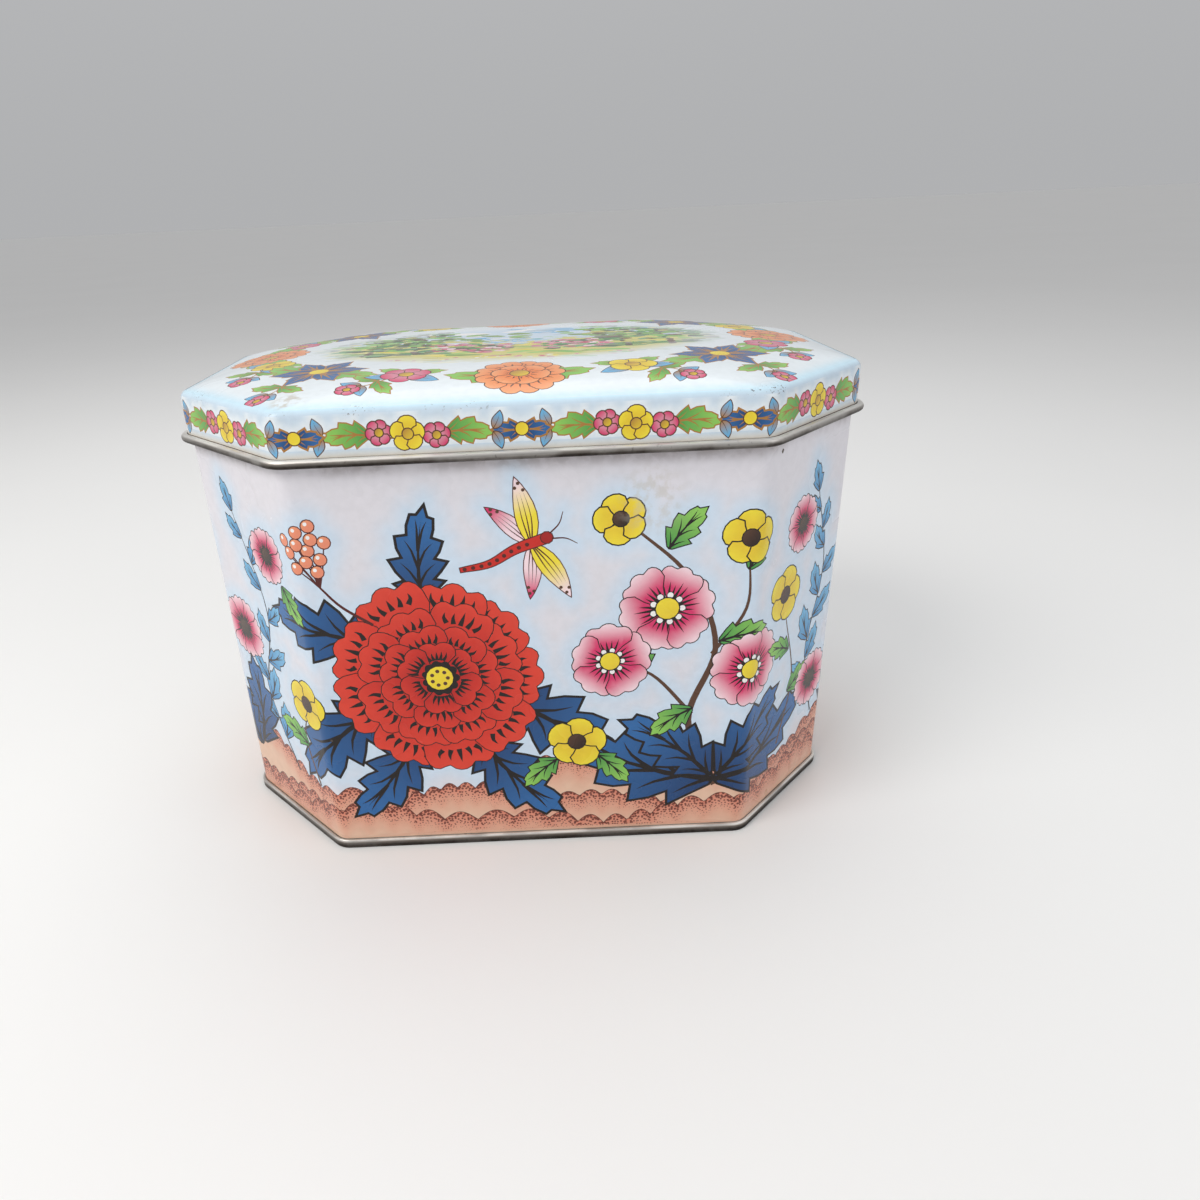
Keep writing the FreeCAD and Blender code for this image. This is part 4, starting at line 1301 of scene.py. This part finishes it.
class TINBOX_OT_lid_skirt(bpy.types.Operator):
    """Prints the garland round the lid's skirt and over its rounded edge"""
    bl_idname = "tinbox.lid_skirt"
    bl_label = "Lid skirt"

    def execute(self, context):
        sizes = context.scene.tin_box_sizes
        wall = lid_wall()
        length = 4 * wall.quarter / sizes.garlands
        foot = PIN.z + 0.6 * RIM_RADIUS
        edge = lid_edge() + sizes.coat
        radius = sizes.edge_radius + sizes.coat
        tall = edge - foot + radius / 2
        width = length / MM
        high = tall / MM
        sheet = Sheet(strip(width, 0, high), "skirt_ground", "lid_ground")
        band = 1.9
        yellowed = 2.4
        crease = 0.4
        sheet.lay(strip(width, high - band, high), Look("skirt_ground", "lid_edge"),
                  along((0, high - band), (0, high)))
        sheet.lay(strip(width, 0, yellowed), Look("cream", "skirt_ground"), along((0, crease), (0, yellowed)))
        # A dark strip at the foot of the skirt: painted shade in the crease where the skirt meets the rolled
        # rim.
        sheet.lay(strip(width, 0, crease), "grime")
        garland(sheet, width)
        upright_cuts = 59
        cuts = np.linspace(0, width, upright_cuts + 2)[1:-1]
        rows = np.arange(high - 2 * radius / MM, high, EDGE_PITCH)
        mesh = print_mesh("print_lid_skirt", *sheet.pressed(SKIRT_PITCH, cuts, rows))
        start = -wall.end_flat - wall.quarter - length
        thing = wrapped("print_lid_skirt", mesh, wall, {
            "Repeats": sizes.garlands, "Repeat Length": length, "Start": start, "Foot": foot, "Height": tall,
            "Edge Height": edge, "Edge Radius": radius, "Dome Pull": DOME_POWER * sizes.dome_rise})
        self.fit_map(thing.data, sizes.garlands, length, tall)
        self.cut_notches(thing.data)
        smooth_normals(thing.data)
        finish_piece(thing, "lid")
        return {"FINISHED"}

    @staticmethod
    def fit_map(mesh, garlands, length, tall):
        """Each repeat lies in a row of its own in the left or the right half of the map."""
        faces = len(mesh.polygons) // garlands
        number = np.repeat(np.arange(garlands), faces * 3)
        rows = (garlands + 1) // 2

        def place(corners, middles):
            x = (number % 2 + 0.01 + 0.98 * corners[:, 0] / length) / 2
            y = (number // 2 + 0.02 + 0.96 * corners[:, 1] / tall) / rows
            return np.stack([x, y], axis=1)
        bake_map(mesh, place)

    @staticmethod
    def cut_notches(mesh):
        """Cuts out the notches for the hinge lugs."""
        work = bmesh.new()
        work.from_mesh(mesh)
        for lug in ("hinge_lug_left", "hinge_lug_right"):
            low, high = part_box(lug)
            sides = [(Vector((low.x - NOTCH_MARGIN, 0, 0)), Vector((-1, 0, 0))),
                     (Vector((high.x + NOTCH_MARGIN, 0, 0)), Vector((1, 0, 0))),
                     (Vector((0, 0, PIN.z + NOTCH_RISE)), Vector((0, 0, 1)))]
            for spot, way in sides:
                near = [face for face in work.faces if near_lug(face, low, high)]
                parts = near + list({edge for face in near for edge in face.edges})
                parts += list({vert for face in near for vert in face.verts})
                bmesh.ops.bisect_plane(work, geom=parts, plane_co=spot, plane_no=way, dist=1e-7)
            inside = [face for face in work.faces if face.calc_center_median().y > 0
                      and all((face.calc_center_median() - spot).dot(way) < 0 for spot, way in sides)]
            bmesh.ops.delete(work, geom=inside, context="FACES")
        bmesh.ops.triangulate(work, faces=work.faces)
        work.to_mesh(mesh)
        work.free()


class TINBOX_OT_lid_top(bpy.types.Operator):
    """Prints the domed top of the lid"""
    bl_idname = "tinbox.lid_top"
    bl_label = "Lid top"

    def execute(self, context):
        sizes = context.scene.tin_box_sizes
        wall = lid_wall()
        outline = lid_top_outline(wall)
        sheet = Sheet(outline, "lid_ground", "lid_edge")
        garden(sheet, 64, 35)
        wreath(sheet, 79, 49.5)
        steps = [np.linspace(a, b, 40) for a, b in zip(outline, np.roll(outline, -1, axis=0))]
        sheet.tint_near(np.concatenate(steps), 2.2)
        mesh = print_mesh("print_lid_top", *sheet.pressed(TOP_PITCH))
        points = np.zeros(len(mesh.vertices) * 3)
        mesh.vertices.foreach_get("co", points)
        points = points.reshape(-1, 3)
        normals = dome_normals(points[:, :2], wall)
        points[:, 2] = lid_edge() + sizes.coat + dome_height(points[:, :2], wall)
        mesh.vertices.foreach_set("co", points.ravel())
        outward = mesh.attributes.new("outward", "FLOAT_VECTOR", "POINT")
        outward.data.foreach_set("vector", normals.ravel())
        mesh.materials.append(printed_tin())
        width = 2 * wall.end
        bake_map(mesh, lambda corners, middles: corners / width * MAP_SHARE + 0.5)
        mesh.update()
        smooth_normals(mesh)
        finish_piece(new_object("print_lid_top", mesh), "lid")
        return {"FINISHED"}


class TINBOX_OT_metal(bpy.types.Operator):
    """Finishes the bare metal of the box"""
    bl_idname = "tinbox.metal"
    bl_label = "Bare metal"

    def execute(self, context):
        # Heights of the rim and of the foot: a painted highlight with rub above, painted shade with tarnish
        # below.
        rim = (LID_LOW.z, PIN.z + RIM_RADIUS)
        foot = (0.0, context.scene.tin_box_sizes.foot_height)
        tin = tinplate("tinplate_finish", ink("tin"), 0.26, 0.42)
        finishes = {"lid": tinplate("lid_finish", ink("tin"), 0.26, 0.42, rim),
                    "base": tinplate("base_finish", ink("foot"), 0.26, 0.42, foot),
                    "hinge_wire": tinplate("wire_finish", ink("wire"), 0.3, 0.45)}
        for name, thing in frame["nodes"].items():
            thing.data.materials.clear()
            thing.data.materials.append(finishes.get(name, tin))
        return {"FINISHED"}


class TINBOX_OT_stage(bpy.types.Operator):
    """Sets up the floor, the light and the camera"""
    bl_idname = "tinbox.stage"
    bl_label = "Stage"

    def execute(self, context):
        scene = context.scene
        scene.view_settings.view_transform = "Standard"
        floor_mesh = bpy.data.meshes.new("floor")
        half = 30.0
        corners = [(-half, -half, 0), (half, -half, 0), (half, half, 0), (-half, half, 0)]
        floor_mesh.from_pydata(corners, [], [(0, 1, 2, 3)])
        floor = new_object("floor", floor_mesh)
        material, start, shader = new_finish("floor_finish")
        pale = ink("floor")
        clouded = start.mixture(pale, 0.96 * pale, start.noise(start.object_place(), 3.0, 3.0))
        feed(start, shader, Base_Color=clouded, Roughness=0.7)
        floor.data.materials.append(material)
        self.light(scene)
        self.camera(scene)
        return {"FINISHED"}

    @staticmethod
    def light(scene):
        """A pale sky, a little brighter overhead, and three soft lamps."""
        world = bpy.data.worlds.new("studio")
        world.use_nodes = True
        start = Wire(world.node_tree)
        upwards = start.height_of(start.node("ShaderNodeTexCoord"))
        background = world.node_tree.nodes["Background"]
        background.inputs["Color"].default_value = (0.97, 0.98, 1.0, 1)
        strength = 0.45 + 0.07 * upwards.between(0.0, 0.5)
        world.node_tree.links.new(strength.socket, background.inputs["Strength"])
        scene.world = world
        aim = Vector((0, 0, 0.07))
        # Lamps: name, place, size, power and colour.
        lamps = [("key", (-0.62, -0.46, 0.82), 0.6, 5.6, (1.0, 0.98, 0.95)),
                 ("fill", (0.7, -0.5, 0.45), 0.7, 1.3, (0.95, 0.97, 1.0)),
                 ("top", (0.0, 0.3, 0.9), 0.9, 2.2, (0.96, 0.98, 1.0))]
        for name, place, size, power, colour in lamps:
            lamp = bpy.data.lights.new(name, "AREA")
            lamp.shape = "DISK"
            lamp.size = size
            lamp.energy = power
            lamp.color = colour
            thing = new_object(name, lamp)
            thing.location = place
            thing.rotation_euler = (aim - Vector(place)).to_track_quat("-Z", "Y").to_euler()

    @staticmethod
    def camera(scene):
        """The camera, with its focal length and the middle of its view in pixels of a square picture."""
        place = (0.0009, -0.2715, 0.1815)
        picture = 1200
        focal = 830.0
        middle = (530.0, 590.0)
        yaw = math.radians(-0.22)
        pitch = math.radians(24.67)
        roll = math.radians(-2.71)
        lens = bpy.data.cameras.new("camera")
        lens.sensor_width = 36
        lens.lens = focal / picture * lens.sensor_width
        lens.shift_x = (picture / 2 - middle[0]) / picture
        lens.shift_y = (middle[1] - picture / 2) / picture
        lens.clip_start = 0.01
        thing = new_object("camera", lens)
        ahead = Vector((math.sin(yaw) * math.cos(pitch), math.cos(yaw) * math.cos(pitch), -math.sin(pitch)))
        right = Vector((math.cos(yaw), -math.sin(yaw), 0))
        up = right.cross(ahead)
        turned_right = math.cos(roll) * right + math.sin(roll) * up
        turned_up = -math.sin(roll) * right + math.cos(roll) * up
        turn = Matrix((turned_right, turned_up, -ahead)).transposed()
        thing.matrix_world = Matrix.Translation(place) @ turn.to_4x4()
        scene.camera = thing


PIECES = (TINBOX_OT_body_print, TINBOX_OT_lid_skirt, TINBOX_OT_lid_top, TINBOX_OT_metal, TINBOX_OT_stage)


class TINBOX_PT_panel(bpy.types.Panel):
    """Lists the sizes, the inks and the pieces of the tin box"""
    bl_idname = "TINBOX_PT_panel"
    bl_label = "Tin Box"
    bl_space_type = "VIEW_3D"
    bl_region_type = "UI"
    bl_category = "Tin Box"

    def draw(self, context):
        for group in (context.scene.tin_box_sizes, context.scene.tin_box_inks):
            column = self.layout.column(align=True)
            for name in group.__annotations__:
                column.prop(group, name)
        for piece in PIECES:
            self.layout.operator(piece.bl_idname)


CLASSES = (TinBoxInks, TinBoxSizes, *PIECES, TINBOX_PT_panel)


def register():
    for each in CLASSES:
        bpy.utils.register_class(each)
    bpy.types.Scene.tin_box_inks = bpy.props.PointerProperty(type=TinBoxInks)
    bpy.types.Scene.tin_box_sizes = bpy.props.PointerProperty(type=TinBoxSizes)


def unregister():
    del bpy.types.Scene.tin_box_sizes
    del bpy.types.Scene.tin_box_inks
    for each in reversed(CLASSES):
        bpy.utils.unregister_class(each)


def main():
    register()
    bpy.ops.tinbox.body_print()
    bpy.ops.tinbox.lid_skirt()
    bpy.ops.tinbox.lid_top()
    bpy.ops.tinbox.metal()
    bpy.ops.tinbox.stage()
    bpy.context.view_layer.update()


if __name__ == "__main__":
    main()
